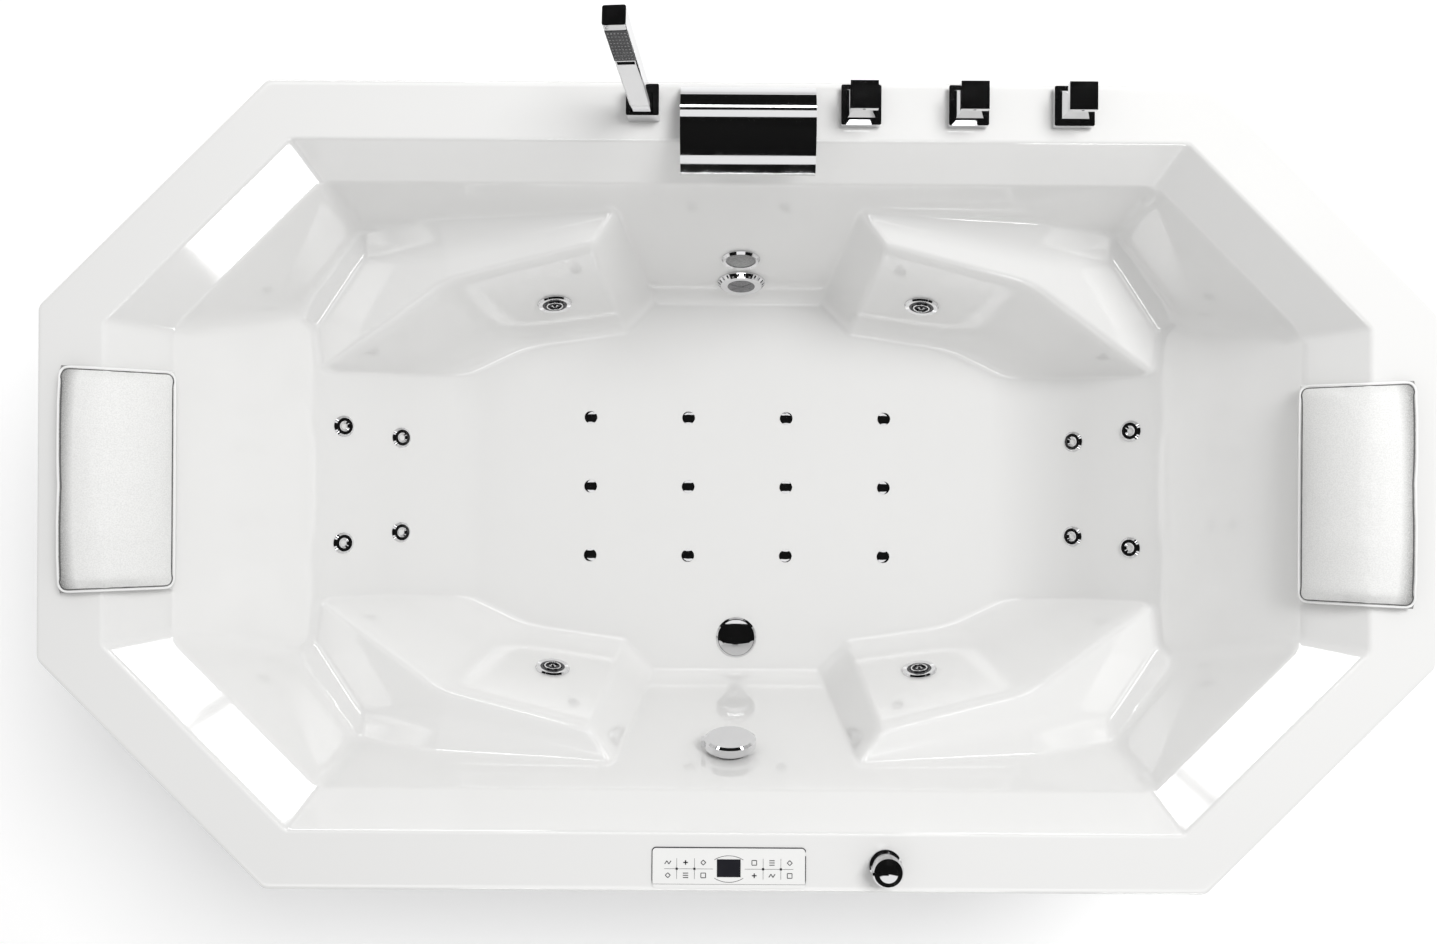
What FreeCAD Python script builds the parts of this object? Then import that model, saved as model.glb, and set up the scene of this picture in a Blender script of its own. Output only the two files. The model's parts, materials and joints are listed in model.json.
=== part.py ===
import FreeCAD, Part
import math
import os

from FreeCAD import Placement, Rotation, Vector

# A drop-in bathtub with water and air jets for two bathers, who lie at opposite ends.
# Millimetres, +Z up. The origin is on the floor under the middle of the tub, +X runs along
# the tub and +Y towards the side that carries the taps. Depths are measured down from the
# top of the rim. Distances of a wall are measured from the middle of the tub.

# ---- The acrylic shell ----------------------------------------------------------------------
LENGTH = 1900.0
WIDTH = 1100.0
CORNER_CUT_LENGTH = 310.0  # leg of each 45 degree corner cut
CORNER_RADIUS = 18.0
RIM_HEIGHT = 600.0  # rim top above the floor
INNER_DEPTH = 430.0  # rim top to the floor of the well
WALL = 8.0  # acrylic with its glass fibre backing
LIP_HEIGHT = 38.0  # turned-down outer edge of the rim
RIM_EDGE_RADIUS = 5.0
SIDE_DECK_WIDTH = 80.0  # width of the rim along the sides
END_DECK_WIDTH = 90.0
CORNER_DECK_WIDTH = 77.5
BAND_DEPTH = 61.0  # the sloping band under the rim ends here
SIDE_BAND_SLOPE = 55.0
CORNER_BAND_SLOPE = 53.0
END_BAND_SLOPE = 46.0
SIDE_SLOPE = 75.4
CORNER_SLOPE = 78.0
UPPER_BACK_SLOPE = 60.0
LOWER_BACK_SLOPE = 45.0
LOWER_BACK_HEIGHT = 182.0  # of the bend in the backrest above the floor
WALL_CORNER_RADIUS = 24.0  # where two walls of the well meet
FLOOR_RADIUS = 26.0

# ---- The four armrest pods ------------------------------------------------------------------
BAY_HALF_WIDTH = 148.0  # half the gap between two pods at the foot of the side wall
POD_STEP = 22.0  # how far a pod's long face stands in from the side wall
POD_FACE_TURN = 8.2
POD_FACE_SLOPE = 73.5
POD_FRONT_SLOPE = 75.5
POD_FRONT_RADIUS = 16.0  # of the upright ridge towards the bay
POD_KNEE_SHARE = 0.7283  # of the way from the middle to the foot of the backrest
POD_BACK_TURN = 64.7
POD_BACK_SLOPE = 69.2
ARM_TIP_X = 224.0
ARM_TIP_Y = 188.0  # in from the outer edge of the rim
ARM_TIP_DEPTH = 153.0
ARM_KNEE_OFFSET = 73.0  # of the bend in the armrest, past the pod's own knee
ARM_FRONT_FALL = 0.184  # fall of the armrest per length towards the backrest
ARM_BACK_FALL = 0.25
ARM_CROSS_FALL = 0.144  # fall of the armrest towards the middle
COVE_KNEE_OFFSET = 78.0  # the cove joins the armrest to the side wall
COVE_KNEE_DEPTH = 162.0
COVE_FRONT_FALL = 0.079
COVE_BACK_FALL = 0.24
COVE_CROSS_FALL = 0.78
SHOULDER_DEPTH = 200.0
SHOULDER_FALL = 0.183

# ---- Clearances -----------------------------------------------------------------------------
HOLE_CLEARANCE = 0.5  # radial gap of a neck in its hole in the shell
SEAT_GAP = 0.3  # between a moving face and what it covers
SPINDLE_CLEARANCE = 0.4
SOFT_GAP = 0.4  # between a pillow and the shell

# ---- Water jets, suction, lamp and air jets -------------------------------------------------
JET_SHARE = 0.683  # of the way from the pod's front to its knee
JET_ABOVE_FLOOR = 113.0
JET_FLANGE_RADIUS = 28.0
JET_FLANGE_HEIGHT = 5.0
JET_BORE_RADIUS = 20.0
JET_NECK_RADIUS = 23.0
JET_NOZZLE_HEIGHT = 7.0
JET_SLOT_COUNT = 6
JET_BODY_RADIUS = 27.0
JET_BODY_LENGTH = 50.0
BACK_JET_SPOTS = ((95.0, 129.0), (80.0, 57.0))  # (from the middle line, above the floor)
BACK_JET_RADIUS = 17.0
BACK_JET_HEIGHT = 4.0
BACK_JET_NECK = 9.0
BACK_JET_MOUTH = 5.0
BACK_JET_BODY_RADIUS = 13.0
BACK_JET_BODY_LENGTH = 24.0
AIR_JET_SHARE_X = 0.3327  # pitch of the air jets, of the way to the backrest's foot
AIR_JET_SHARE_Y = 0.3623  # and of the way to the side wall's foot
AIR_JET_COLUMNS = 4
AIR_JET_ROWS = 3
AIR_JET_RADIUS = 11.0
AIR_JET_HEIGHT = 3.0
AIR_JET_NECK = 5.0
AIR_TAIL_RADIUS = 7.0
SUCTION_X = 5.0
SUCTION_ABOVE_FLOOR = 60.0
SUCTION_RADIUS = 40.0
SUCTION_HEIGHT = 9.0
SUCTION_NECK = 24.0
SUCTION_RIBS = 24
SUCTION_BODY_RADIUS = 32.0
SUCTION_BODY_LENGTH = 30.0
LAMP_X = 4.0
LAMP_ABOVE_FLOOR = 142.0
LAMP_RADIUS = 31.0
LAMP_HEIGHT = 6.0
LAMP_LENS_RADIUS = 24.0
LAMP_NECK = 26.0
LAMP_BODY_RADIUS = 27.5
LAMP_BODY_LENGTH = 30.0

# ---- Waste and overflow ---------------------------------------------------------------------
DRAIN_SHARE = 0.791  # of the way from the middle to the foot of the front wall
DRAIN_RADIUS = 35.0
DRAIN_FLANGE_HEIGHT = 3.0
DRAIN_NECK = 26.0
DRAIN_BORE = 22.0
PLUG_RADIUS = 31.0
PLUG_DOME_HEIGHT = 9.0
PLUG_EDGE_HEIGHT = 3.0
PLUG_STEM_RADIUS = 4.0
PLUG_LIFT = 12.0
WASTE_BODY_RADIUS = 30.0
WASTE_BODY_HEIGHT = 62.0
WASTE_PIPE_RADIUS = 20.0
WASTE_PIPE_LENGTH = 40.0  # below the waste body
OVERFLOW_X = -8.0
OVERFLOW_DEPTH = 170.0
OVERFLOW_RADIUS = 39.0
OVERFLOW_HEIGHT = 24.0
OVERFLOW_STAND = 7.0  # gap under the knob, where the water runs in
OVERFLOW_NECK = 27.0
OVERFLOW_SPINDLE = 6.0
OVERFLOW_BODY_RADIUS = 32.0
OVERFLOW_BODY_LENGTH = 34.0
OVERFLOW_PIPE_RADIUS = 16.0
PLUG_CABLE_RADIUS = 3.5

# ---- Taps on the rim ------------------------------------------------------------------------
TAP_LINE = 35.0  # of the tap centres, in from the outer edge of the rim
CONTROL_X = (164.0, 309.0, 451.0)
CONTROL_BASE = 54.0
CONTROL_BASE_HEIGHT = 12.0
CONTROL_FOOT = 40.0
CONTROL_WAIST = 26.0
CONTROL_HEAD = 37.0
CONTROL_HEIGHT = 52.0  # of the handle's top above the rim
CONTROL_HEAD_HEIGHT = 8.0
SPINDLE_RADIUS = 8.0
SPINDLE_LENGTH = 9.0
TAIL_RADIUS = 16.0
NUT_RADIUS = 25.0
NUT_HEIGHT = 7.0
VALVE_SIDE = 46.0
VALVE_HEIGHT = 54.0
INLET_RADIUS = 10.48
INLET_LENGTH = 15.0
MIXER_PIPE_RADIUS = 8.0
HOLDER_X = -129.0
HOLDER_LENGTH = 44.0
HOLDER_WIDTH = 42.0
HOLDER_HEIGHT = 27.0
HOLDER_TAIL = 13.0
SHOWER_WIDTH = 28.0
SHOWER_THICKNESS = 25.0
SHOWER_LENGTH = 222.0
SHOWER_LEAN = 8.0  # backwards, degrees
SHOWER_SIDE_LEAN = -4.0
SHOWER_FORWARD = 6.0  # of the socket from the middle of the holder
SOCKET_DEPTH = 14.0
SOCKET_CLEARANCE = 0.6
SHOWER_LIFT = 250.0
SPRAY_WIDTH = 22.0
SPRAY_LENGTH = 36.0
SPRAY_TOP = 52.0  # from the spray plate's upper edge to the handset's end
SPRAY_THICKNESS = 2.0
SPOUT_X = 12.0
SPOUT_WIDTH = 180.0
SPOUT_BACK = 10.0  # in from the outer edge of the rim
SPOUT_PEAK_Y = 50.0
SPOUT_PEAK = 46.0
SPOUT_REACH = 132.0
SPOUT_LIP = 22.0
SPOUT_PLATE = 9.0
SPOUT_FOOT = 62.0
SPOUT_TAIL = 16.0
ELBOW_BLOCK = 32.0
SPOUT_ELBOW_HEIGHT = 30.0
HOLDER_ELBOW_HEIGHT = 56.0

# ---- Controls on the front rim --------------------------------------------------------------
KEYPAD_X = -8.0
KEYPAD_LINE = 34.0
KEYPAD_LENGTH = 207.0
KEYPAD_WIDTH = 54.0
KEYPAD_HEIGHT = 1.6
KEYPAD_CORNER = 5.0
KEYPAD_BOX_MARGIN = 8.0
KEYPAD_BOX_HEIGHT = 26.0
DISPLAY_LENGTH = 32.0
DISPLAY_WIDTH = 24.0
DISPLAY_PROUD = 0.5
AIR_KNOB_X = 204.0
AIR_KNOB_LINE = 39.0
AIR_KNOB_RADIUS = 19.0
AIR_KNOB_TOP_RADIUS = 21.5
AIR_KNOB_HEIGHT = 30.0
AIR_COLLAR_RADIUS = 22.0
AIR_COLLAR_HEIGHT = 6.0
AIR_VALVE_LENGTH = 46.0

# ---- Pillows --------------------------------------------------------------------------------
PILLOW_WIDTH = 310.0
PILLOW_THICKNESS = 38.0
PILLOW_EDGE = 14.0  # thickness left along the sides
PILLOW_ON_RIM = 52.0  # how far it lies on the rim
PILLOW_DROP = 60.0  # depth of its lower edge
PILLOW_Y = 5.0  # each pillow sits a little off the middle line
PEG_RADIUS = 5.0
PEG_LENGTH = 26.0
PEG_SPACING = 200.0

# ---- Frame and feet -------------------------------------------------------------------------
TUBE = 30.0
TUBE_WALL = 2.0
SIDE_RAIL_INSET = 65.0  # rail centre line, in from the outer edge
END_RAIL_INSET = 55.0
END_POST_INSET = 50.0  # in from the corner of the rim
POST = 25.0
CROSS_SHARE = 0.8218  # of the way from the middle to the foot of the backrest
INNER_RAIL_SHARE = 0.5283  # of the way from the middle to the side wall's foot
INNER_RAIL_REACH = 50.0  # past the cross-members
BOARD_OVERHANG = 25.0  # past the middle of the inner rails
BOARD_THICKNESS = 12.0
BOARD_HOLE_CLEARANCE = 3.0
FOOT_RADIUS = 25.0
FOOT_HEIGHT = 14.0
STUD_RADIUS = 6.0
FOOT_NUT_WIDTH = 19.0
FOOT_NUT_HEIGHT = 10.0

# ---- Pump, blower, pipes and control box ----------------------------------------------------
PUMP_INSET = 140.0  # in from the outer edge of the rim
SHELF_LENGTH = 230.0
SHELF_OFFSET = 50.0  # of a shelf's middle past the cross-member
SHELF_WIDTH = 200.0
SHELF_THICKNESS = 4.0
PUMP_AXIS_HEIGHT = 84.0  # above the shelf
MOTOR_RADIUS = 60.0
MOTOR_LENGTH = 155.0
MOTOR_FIN_DEPTH = 4.0
MOTOR_FINS = 8
VOLUTE_GAP = 64.0  # from the nearest jet to the volute
VOLUTE_RADIUS = 80.0
VOLUTE_LENGTH = 62.0
PORT_RADIUS = 30.0
PORT_LENGTH = 28.0
PIPE_RADIUS = 20.0
SUCTION_PIPE_RADIUS = 25.0
ELBOW_RADIUS = 25.0
ELBOW_LENGTH = 32.0
MAIN_PIPE_ABOVE_JETS = 47.0
MAIN_PIPE_INSET = 110.0  # in from the outer edge of the rim
MAIN_PIPE_END_INSET = 180.0
MAIN_PIPE_GAP = 7.0  # between its elbows and the back of the shell
FEED_RADIUS = 9.0
BACK_FEED_RADIUS = 6.0
BACK_FEED_DROP = 30.0  # along a back jet's axis, behind its body
AIR_ROW_RADIUS = 8.0
AIR_ROW_DROP = 35.0  # of the row pipes below the shell
AIR_HEADER_REACH = 80.0  # past the last air jets
AIR_HEADER_RADIUS = 10.0
AIR_HOSE_DROP = 15.0  # of the hose below the rails
AIR_HOSE_Y = -60.0
BLOWER_OFFSET = 10.0  # outwards from the middle of its shelf
BLOWER_INSET = 125.0  # in from the outer edge of the rim
BLOWER_RADIUS = 62.0
BLOWER_HEIGHT = 130.0
BLOWER_PORT_HEIGHT = 36.0  # above the shelf
BLOWER_PORT_LENGTH = 20.0
AIR_HOSE_RADIUS = 13.0
BOX_INSET = 125.0
BOX_LENGTH = 210.0
BOX_WIDTH = 120.0
BOX_HEIGHT = 85.0
CABLE_RADIUS = 4.0
CABLE_FALLS = (0.25, 0.33, 0.47)  # shares of the keypad cable's drop at its bends
AIR_CONTROL_HOSE_RADIUS = 6.0

# ---- Worked out from the sizes above --------------------------------------------------------
UP = Vector(0, 0, 1)
REACH = 2.0 * LENGTH
DIAGONAL = math.sqrt(0.5)
HALF_LENGTH = LENGTH / 2.0
HALF_WIDTH = WIDTH / 2.0
CORNER_DISTANCE = (HALF_LENGTH + HALF_WIDTH - CORNER_CUT_LENGTH) * DIAGONAL
FLOOR_Z = RIM_HEIGHT - INNER_DEPTH
SHELL_BOTTOM = FLOOR_Z - WALL
DECK_UNDERSIDE = RIM_HEIGHT - WALL
RAIL_BOTTOM = SHELL_BOTTOM - BOARD_THICKNESS - 2 * TUBE
RAIL_TOP = RAIL_BOTTOM + TUBE


def run(drop, slope):
    """Horizontal distance in which a wall of this slope falls by drop."""
    return drop / math.tan(math.radians(slope))


SIDE_TOP = HALF_WIDTH - SIDE_DECK_WIDTH
END_TOP = HALF_LENGTH - END_DECK_WIDTH
CORNER_TOP = CORNER_DISTANCE - CORNER_DECK_WIDTH
SIDE_CREASE = SIDE_TOP - run(BAND_DEPTH, SIDE_BAND_SLOPE)
END_CREASE = END_TOP - run(BAND_DEPTH, END_BAND_SLOPE)
CORNER_CREASE = CORNER_TOP - run(BAND_DEPTH, CORNER_BAND_SLOPE)
SIDE_FOOT = SIDE_CREASE - run(INNER_DEPTH - BAND_DEPTH, SIDE_SLOPE)
BACK_KNEE_DEPTH = INNER_DEPTH - LOWER_BACK_HEIGHT
BACK_KNEE = END_CREASE - run(BACK_KNEE_DEPTH - BAND_DEPTH, UPPER_BACK_SLOPE)
BACK_FOOT = BACK_KNEE - run(LOWER_BACK_HEIGHT, LOWER_BACK_SLOPE)
TAP_Y = HALF_WIDTH - TAP_LINE
SIDE_RAIL_Y = HALF_WIDTH - SIDE_RAIL_INSET
END_RAIL_X = HALF_LENGTH - END_RAIL_INSET
SIDE_POST_X = HALF_LENGTH - CORNER_CUT_LENGTH
END_POST_Y = HALF_WIDTH - CORNER_CUT_LENGTH - END_POST_INSET
POD_KNEE_X = POD_KNEE_SHARE * BACK_FOOT
ARM_KNEE_X = POD_KNEE_X + ARM_KNEE_OFFSET
COVE_KNEE_X = POD_KNEE_X + COVE_KNEE_OFFSET
JET_X = BAY_HALF_WIDTH + JET_SHARE * (POD_KNEE_X - BAY_HALF_WIDTH)
JET_DEPTH = INNER_DEPTH - JET_ABOVE_FLOOR
AIR_JET_PITCH_X = AIR_JET_SHARE_X * BACK_FOOT
AIR_JET_PITCH_Y = AIR_JET_SHARE_Y * SIDE_FOOT
DRAIN_Y = -DRAIN_SHARE * SIDE_FOOT
CROSS_X = CROSS_SHARE * BACK_FOOT
INNER_RAIL_Y = INNER_RAIL_SHARE * SIDE_FOOT
SHELF_X = CROSS_X + SHELF_OFFSET
PUMP_Y = HALF_WIDTH - PUMP_INSET
VOLUTE_X = -JET_X - VOLUTE_GAP
MAIN_PIPE_Y = HALF_WIDTH - MAIN_PIPE_INSET
MAIN_PIPE_DEPTH = JET_DEPTH - MAIN_PIPE_ABOVE_JETS
MAIN_PIPE_HEIGHT = RIM_HEIGHT - MAIN_PIPE_DEPTH
MAIN_PIPE_END_X = HALF_LENGTH - MAIN_PIPE_END_INSET
SHELL_BACK_AT_PIPE = CORNER_CREASE - run(MAIN_PIPE_DEPTH - BAND_DEPTH, CORNER_SLOPE) + WALL
MAIN_PIPE_CORNER = SHELL_BACK_AT_PIPE + ELBOW_RADIUS + MAIN_PIPE_GAP
MAIN_PIPE_BEND_X = MAIN_PIPE_CORNER / DIAGONAL - MAIN_PIPE_Y
MAIN_PIPE_BEND_Y = MAIN_PIPE_CORNER / DIAGONAL - MAIN_PIPE_END_X
AIR_ROW_HEIGHT = SHELL_BOTTOM - AIR_ROW_DROP
AIR_HEADER_X = -(AIR_JET_COLUMNS - 1) / 2 * AIR_JET_PITCH_X - AIR_HEADER_REACH
AIR_HOSE_HEIGHT = RAIL_BOTTOM - AIR_HOSE_DROP
BLOWER_X = -SHELF_X - BLOWER_OFFSET
BLOWER_Y = BLOWER_INSET - HALF_WIDTH
BOX_X = CROSS_X
BOX_Y = BOX_INSET - HALF_WIDTH


# ---- Tools ----------------------------------------------------------------------------------
def heading(degrees):
    """Horizontal unit vector at an angle from +X."""
    return Vector(math.cos(math.radians(degrees)), math.sin(math.radians(degrees)), 0)


def fused(shapes):
    """One solid made of shapes that overlap."""
    return shapes[0].multiFuse(shapes[1:]).removeSplitter()


def set_on(shape, point, axis):
    """A copy of a shape, with its origin at point and its +Z along axis."""
    copy = shape.copy()
    copy.Placement = Placement(point, Rotation(UP, axis)).multiply(copy.Placement)
    return copy


def mirrored(shape, across):
    return shape.mirror(Vector(), across)


def four_ways(shape):
    """A shape of the +X +Y quarter and its images in the other three."""
    right = [shape, mirrored(shape, Vector(0, 1, 0))]
    return right + [mirrored(s, Vector(1, 0, 0)) for s in right]


def disc(radius, height, bottom=0.0):
    return Part.makeCylinder(radius, height, Vector(0, 0, bottom))


def ring(outer, inner, height, bottom=0.0):
    return disc(outer, height, bottom).cut(disc(inner, height, bottom))


def centred_box(length, width, height, x=0.0, y=0.0, bottom=0.0):
    return Part.makeBox(length, width, height, Vector(x - length / 2, y - width / 2, bottom))


def rounded_box(length, width, height, radius, x=0.0, y=0.0, bottom=0.0):
    """A box with rounded upright edges."""
    box = centred_box(length, width, height, x, y, bottom)
    uprights = [e for e in box.Edges if abs(e.tangentAt(e.FirstParameter).z) > 0.99]
    return box.makeFillet(radius, uprights)


def turned(profile):
    """A solid of revolution about Z from (radius, height) corners, the first and last on the axis."""
    points = [Vector(r, 0, z) for r, z in profile]
    face = Part.Face(Part.makePolygon(points + points[:1]))
    return face.revolve(Vector(), UP, 360)


def domed(radius, edge, crown):
    """A round cap with a flat edge and a spherical top, standing on z = 0."""
    sphere_radius = (radius ** 2 + (crown - edge) ** 2) / (2 * (crown - edge))
    sphere = Part.makeSphere(sphere_radius, Vector(0, 0, crown - sphere_radius))
    return disc(radius, crown).common(sphere.fuse(disc(radius, edge)))


def between(start, end, radius):
    """A round bar from one point to another."""
    return Part.makeCylinder(radius, (end - start).Length, start, end - start)


def bent_bar(points, radius, bend):
    """A round bar of straight runs joined by tangent arcs."""
    edges = []
    start = points[0]
    for before, corner, after in zip(points, points[1:], points[2:]):
        back = (before - corner).normalize()
        on = (after - corner).normalize()
        half_angle = back.getAngle(on) / 2
        leg = bend / math.tan(half_angle)
        middle = (back + on).normalize() * (bend / math.sin(half_angle) - bend)
        edges.append(Part.makeLine(start, corner + back * leg))
        edges.append(Part.Arc(corner + back * leg, corner + middle, corner + on * leg).toShape())
        start = corner + on * leg
    edges.append(Part.makeLine(start, points[-1]))
    path = Part.Wire(edges)
    circle = Part.Wire(Part.makeCircle(radius, points[0], points[1] - points[0]))
    return path.makePipeShell([circle], True, False)


def square_tube(start, end, side):
    """A steel tube of square section, with its sides level and upright."""
    along = end - start
    outer = centred_box(side, side, along.Length)
    tube = outer.cut(centred_box(side - 2 * TUBE_WALL, side - 2 * TUBE_WALL, along.Length))
    level = along.cross(UP) if along.cross(UP).Length > 1 else Vector(0, 1, 0)
    tube.Placement = Placement(start, Rotation(along.cross(level), level, along, "ZXY"))
    return tube


def write_node(name, *solids):
    shape = solids[0] if len(solids) == 1 else Part.makeCompound(list(solids))
    shape.exportStep("parts/" + name + ".step")


# ---- The walls of the well ------------------------------------------------------------------
def wall(bearing, distance, depth, slope):
    """A wall plane: a point on it, and its normal, which points out of the well."""
    across = heading(bearing)
    lean = math.radians(slope)
    point = across * distance + UP * (RIM_HEIGHT - depth)
    return point, across * math.sin(lean) - UP * math.cos(lean)


def ledge(x, y, depth, fall_x, fall_y):
    """A plane that lies under the bather, from a point and its fall along +X and +Y."""
    return Vector(x, y, RIM_HEIGHT - depth), Vector(fall_x, fall_y, 1).normalize() * -1


def beyond(plane, offset):
    """Everything on the far side of a plane that is moved out by offset."""
    point, normal = plane
    block = centred_box(REACH, REACH, REACH)
    return set_on(block, point + normal * offset, normal)


def spot(plane, depth, x=None, y=None):
    """The point of a plane at a depth, where x or y is given."""
    point, normal = plane
    z = RIM_HEIGHT - depth
    if y is None:
        return Vector(x, point.y - (normal.x * (x - point.x) + normal.z * (z - point.z)) / normal.y, z)
    return Vector(point.x - (normal.y * (y - point.y) + normal.z * (z - point.z)) / normal.x, y, z)


SIDE_WALL = wall(90, SIDE_CREASE, BAND_DEPTH, SIDE_SLOPE)
FRONT_WALL = wall(270, SIDE_CREASE, BAND_DEPTH, SIDE_SLOPE)
CORNER_WALL = wall(45, CORNER_CREASE, BAND_DEPTH, CORNER_SLOPE)
LOWER_BACK = wall(0, BACK_FOOT, INNER_DEPTH, LOWER_BACK_SLOPE)
UPPER_BACK = wall(0, BACK_KNEE, BACK_KNEE_DEPTH, UPPER_BACK_SLOPE)
SIDE_BAND = wall(90, SIDE_TOP, 0, SIDE_BAND_SLOPE)
CORNER_BAND = wall(45, CORNER_TOP, 0, CORNER_BAND_SLOPE)
END_BAND = wall(0, END_TOP, 0, END_BAND_SLOPE)

POD_FRONT = wall(45, (BAY_HALF_WIDTH + SIDE_FOOT) * DIAGONAL, INNER_DEPTH, POD_FRONT_SLOPE)
POD_FACE_BEARING = 90 - POD_FACE_TURN
POD_FACE_DISTANCE = (SIDE_FOOT - POD_STEP) * math.sin(math.radians(POD_FACE_BEARING))
POD_FACE = wall(POD_FACE_BEARING, POD_FACE_DISTANCE, INNER_DEPTH, POD_FACE_SLOPE)
POD_KNEE = spot(POD_FACE, INNER_DEPTH, x=POD_KNEE_X)
POD_BACK_DISTANCE = heading(POD_BACK_TURN).dot(Vector(POD_KNEE.x, POD_KNEE.y, 0))
POD_BACK = wall(POD_BACK_TURN, POD_BACK_DISTANCE, INNER_DEPTH, POD_BACK_SLOPE)

ARM_TIP = (ARM_TIP_X, HALF_WIDTH - ARM_TIP_Y, ARM_TIP_DEPTH)
ARM_KNEE_DEPTH = ARM_TIP_DEPTH + (ARM_KNEE_X - ARM_TIP_X) * ARM_FRONT_FALL
ARM_KNEE = (ARM_KNEE_X, HALF_WIDTH - ARM_TIP_Y, ARM_KNEE_DEPTH)
COVE_KNEE = spot(SIDE_WALL, COVE_KNEE_DEPTH, x=COVE_KNEE_X)
COVE_KNEE_POINT = (COVE_KNEE.x, COVE_KNEE.y, COVE_KNEE_DEPTH)
CORNER_AT_SHOULDER = CORNER_CREASE - run(SHOULDER_DEPTH - BAND_DEPTH, CORNER_SLOPE)
SIDE_AT_SHOULDER = SIDE_CREASE - run(SHOULDER_DEPTH - BAND_DEPTH, SIDE_SLOPE)
SHOULDER = (CORNER_AT_SHOULDER / DIAGONAL - SIDE_AT_SHOULDER, SIDE_AT_SHOULDER, SHOULDER_DEPTH)
ARM_LEDGES = (
    ledge(*ARM_TIP, ARM_FRONT_FALL, -ARM_CROSS_FALL),
    ledge(*ARM_KNEE, ARM_BACK_FALL, -ARM_CROSS_FALL),
)
COVE_LEDGES = (
    ledge(*COVE_KNEE_POINT, COVE_FRONT_FALL, -COVE_CROSS_FALL),
    ledge(*COVE_KNEE_POINT, COVE_BACK_FALL, -COVE_CROSS_FALL),
)
SHOULDER_LEDGE = ledge(
    *SHOULDER, (SHOULDER_FALL - 1) * DIAGONAL, (-SHOULDER_FALL - 1) * DIAGONAL
)


def bowl(side, corner, end_walls, offset):
    """A convex hollow between upright walls, open at the top, grown outwards by offset."""
    above = 2 * WALL
    block = centred_box(REACH, REACH, INNER_DEPTH + offset + above, bottom=FLOOR_Z - offset)
    for plane in (side, corner) + end_walls:
        outside = beyond(plane, offset)
        for copy in four_ways(outside):
            block = block.cut(copy)
    return block.removeSplitter()


def lies_on(edge, plane, offset):
    """Whether an edge lies on a plane that is moved out by offset."""
    point, normal = plane
    return all(abs((v.Point - point).dot(normal) - offset) < 0.05 for v in edge.Vertexes)


def pod(offset):
    """The armrest pod of the +X +Y quarter, which stands into the well."""
    faces = beyond(POD_FACE, offset).fuse(beyond(POD_BACK, offset))
    faces = faces.common(beyond(POD_FRONT, offset))
    arm = beyond(ARM_LEDGES[0], offset).common(beyond(ARM_LEDGES[1], offset))
    cove = beyond(COVE_LEDGES[0], offset).common(beyond(COVE_LEDGES[1], offset))
    under = arm.fuse([cove, beyond(SHOULDER_LEDGE, offset)])
    quarter = Part.makeBox(HALF_LENGTH, HALF_WIDTH, RIM_HEIGHT)
    block = quarter.common(faces).common(under).removeSplitter()
    ridge = [e for e in block.Edges if lies_on(e, POD_FACE, offset) and lies_on(e, POD_FRONT, offset)]
    return block.makeFillet(POD_FRONT_RADIUS - offset, ridge)


def cavity(offset):
    """The hollow of the well with its rounded corners, grown outwards by offset all round."""
    lower = bowl(SIDE_WALL, CORNER_WALL, (UPPER_BACK, LOWER_BACK), offset)
    leaning = [e for e in lower.Edges if abs(e.tangentAt(e.FirstParameter).z) > 0.3]
    lower = lower.makeFillet(WALL_CORNER_RADIUS + offset, leaning)
    upper = bowl(SIDE_BAND, CORNER_BAND, (END_BAND,), offset)
    hollow = lower.fuse(upper).cut(four_ways(pod(offset))).removeSplitter()
    foot = [e for e in hollow.Edges if e.BoundBox.ZMax < FLOOR_Z - offset + 0.1]
    return hollow.makeFillet(FLOOR_RADIUS + offset, foot)


def octagon(inset, bottom, height):
    """An eight-sided block that follows the rim's outline at an inset."""
    x = HALF_LENGTH - inset
    y = HALF_WIDTH - inset
    cut = CORNER_CUT_LENGTH - inset * (2 - 1 / DIAGONAL)
    quarter = [Vector(x, y - cut, bottom), Vector(x - cut, y, bottom)]
    left = [Vector(-p.x, p.y, p.z) for p in reversed(quarter)]
    lower = [Vector(p.x, -p.y, p.z) for p in reversed(quarter + left)]
    corners = quarter + left + lower
    block = Part.Face(Part.makePolygon(corners + corners[:1])).extrude(UP * height)
    uprights = [e for e in block.Edges if abs(e.tangentAt(e.FirstParameter).z) > 0.99]
    return block.makeFillet(CORNER_RADIUS - inset, uprights)


def rim():
    """The flat rim with its turned-down lip."""
    block = octagon(0, RIM_HEIGHT - LIP_HEIGHT, LIP_HEIGHT)
    top_edges = [e for e in block.Edges if e.BoundBox.ZMin > RIM_HEIGHT - 0.01]
    block = block.makeFillet(RIM_EDGE_RADIUS, top_edges)
    return block.cut(octagon(WALL, RIM_HEIGHT - LIP_HEIGHT - WALL, LIP_HEIGHT))


# ---- Places of the fittings -----------------------------------------------------------------
def inward(plane):
    return plane[1] * -1


def on_wall(shape, point, plane):
    """A fitting made on z = 0, set on a wall of the well."""
    return set_on(shape, point, inward(plane))


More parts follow.
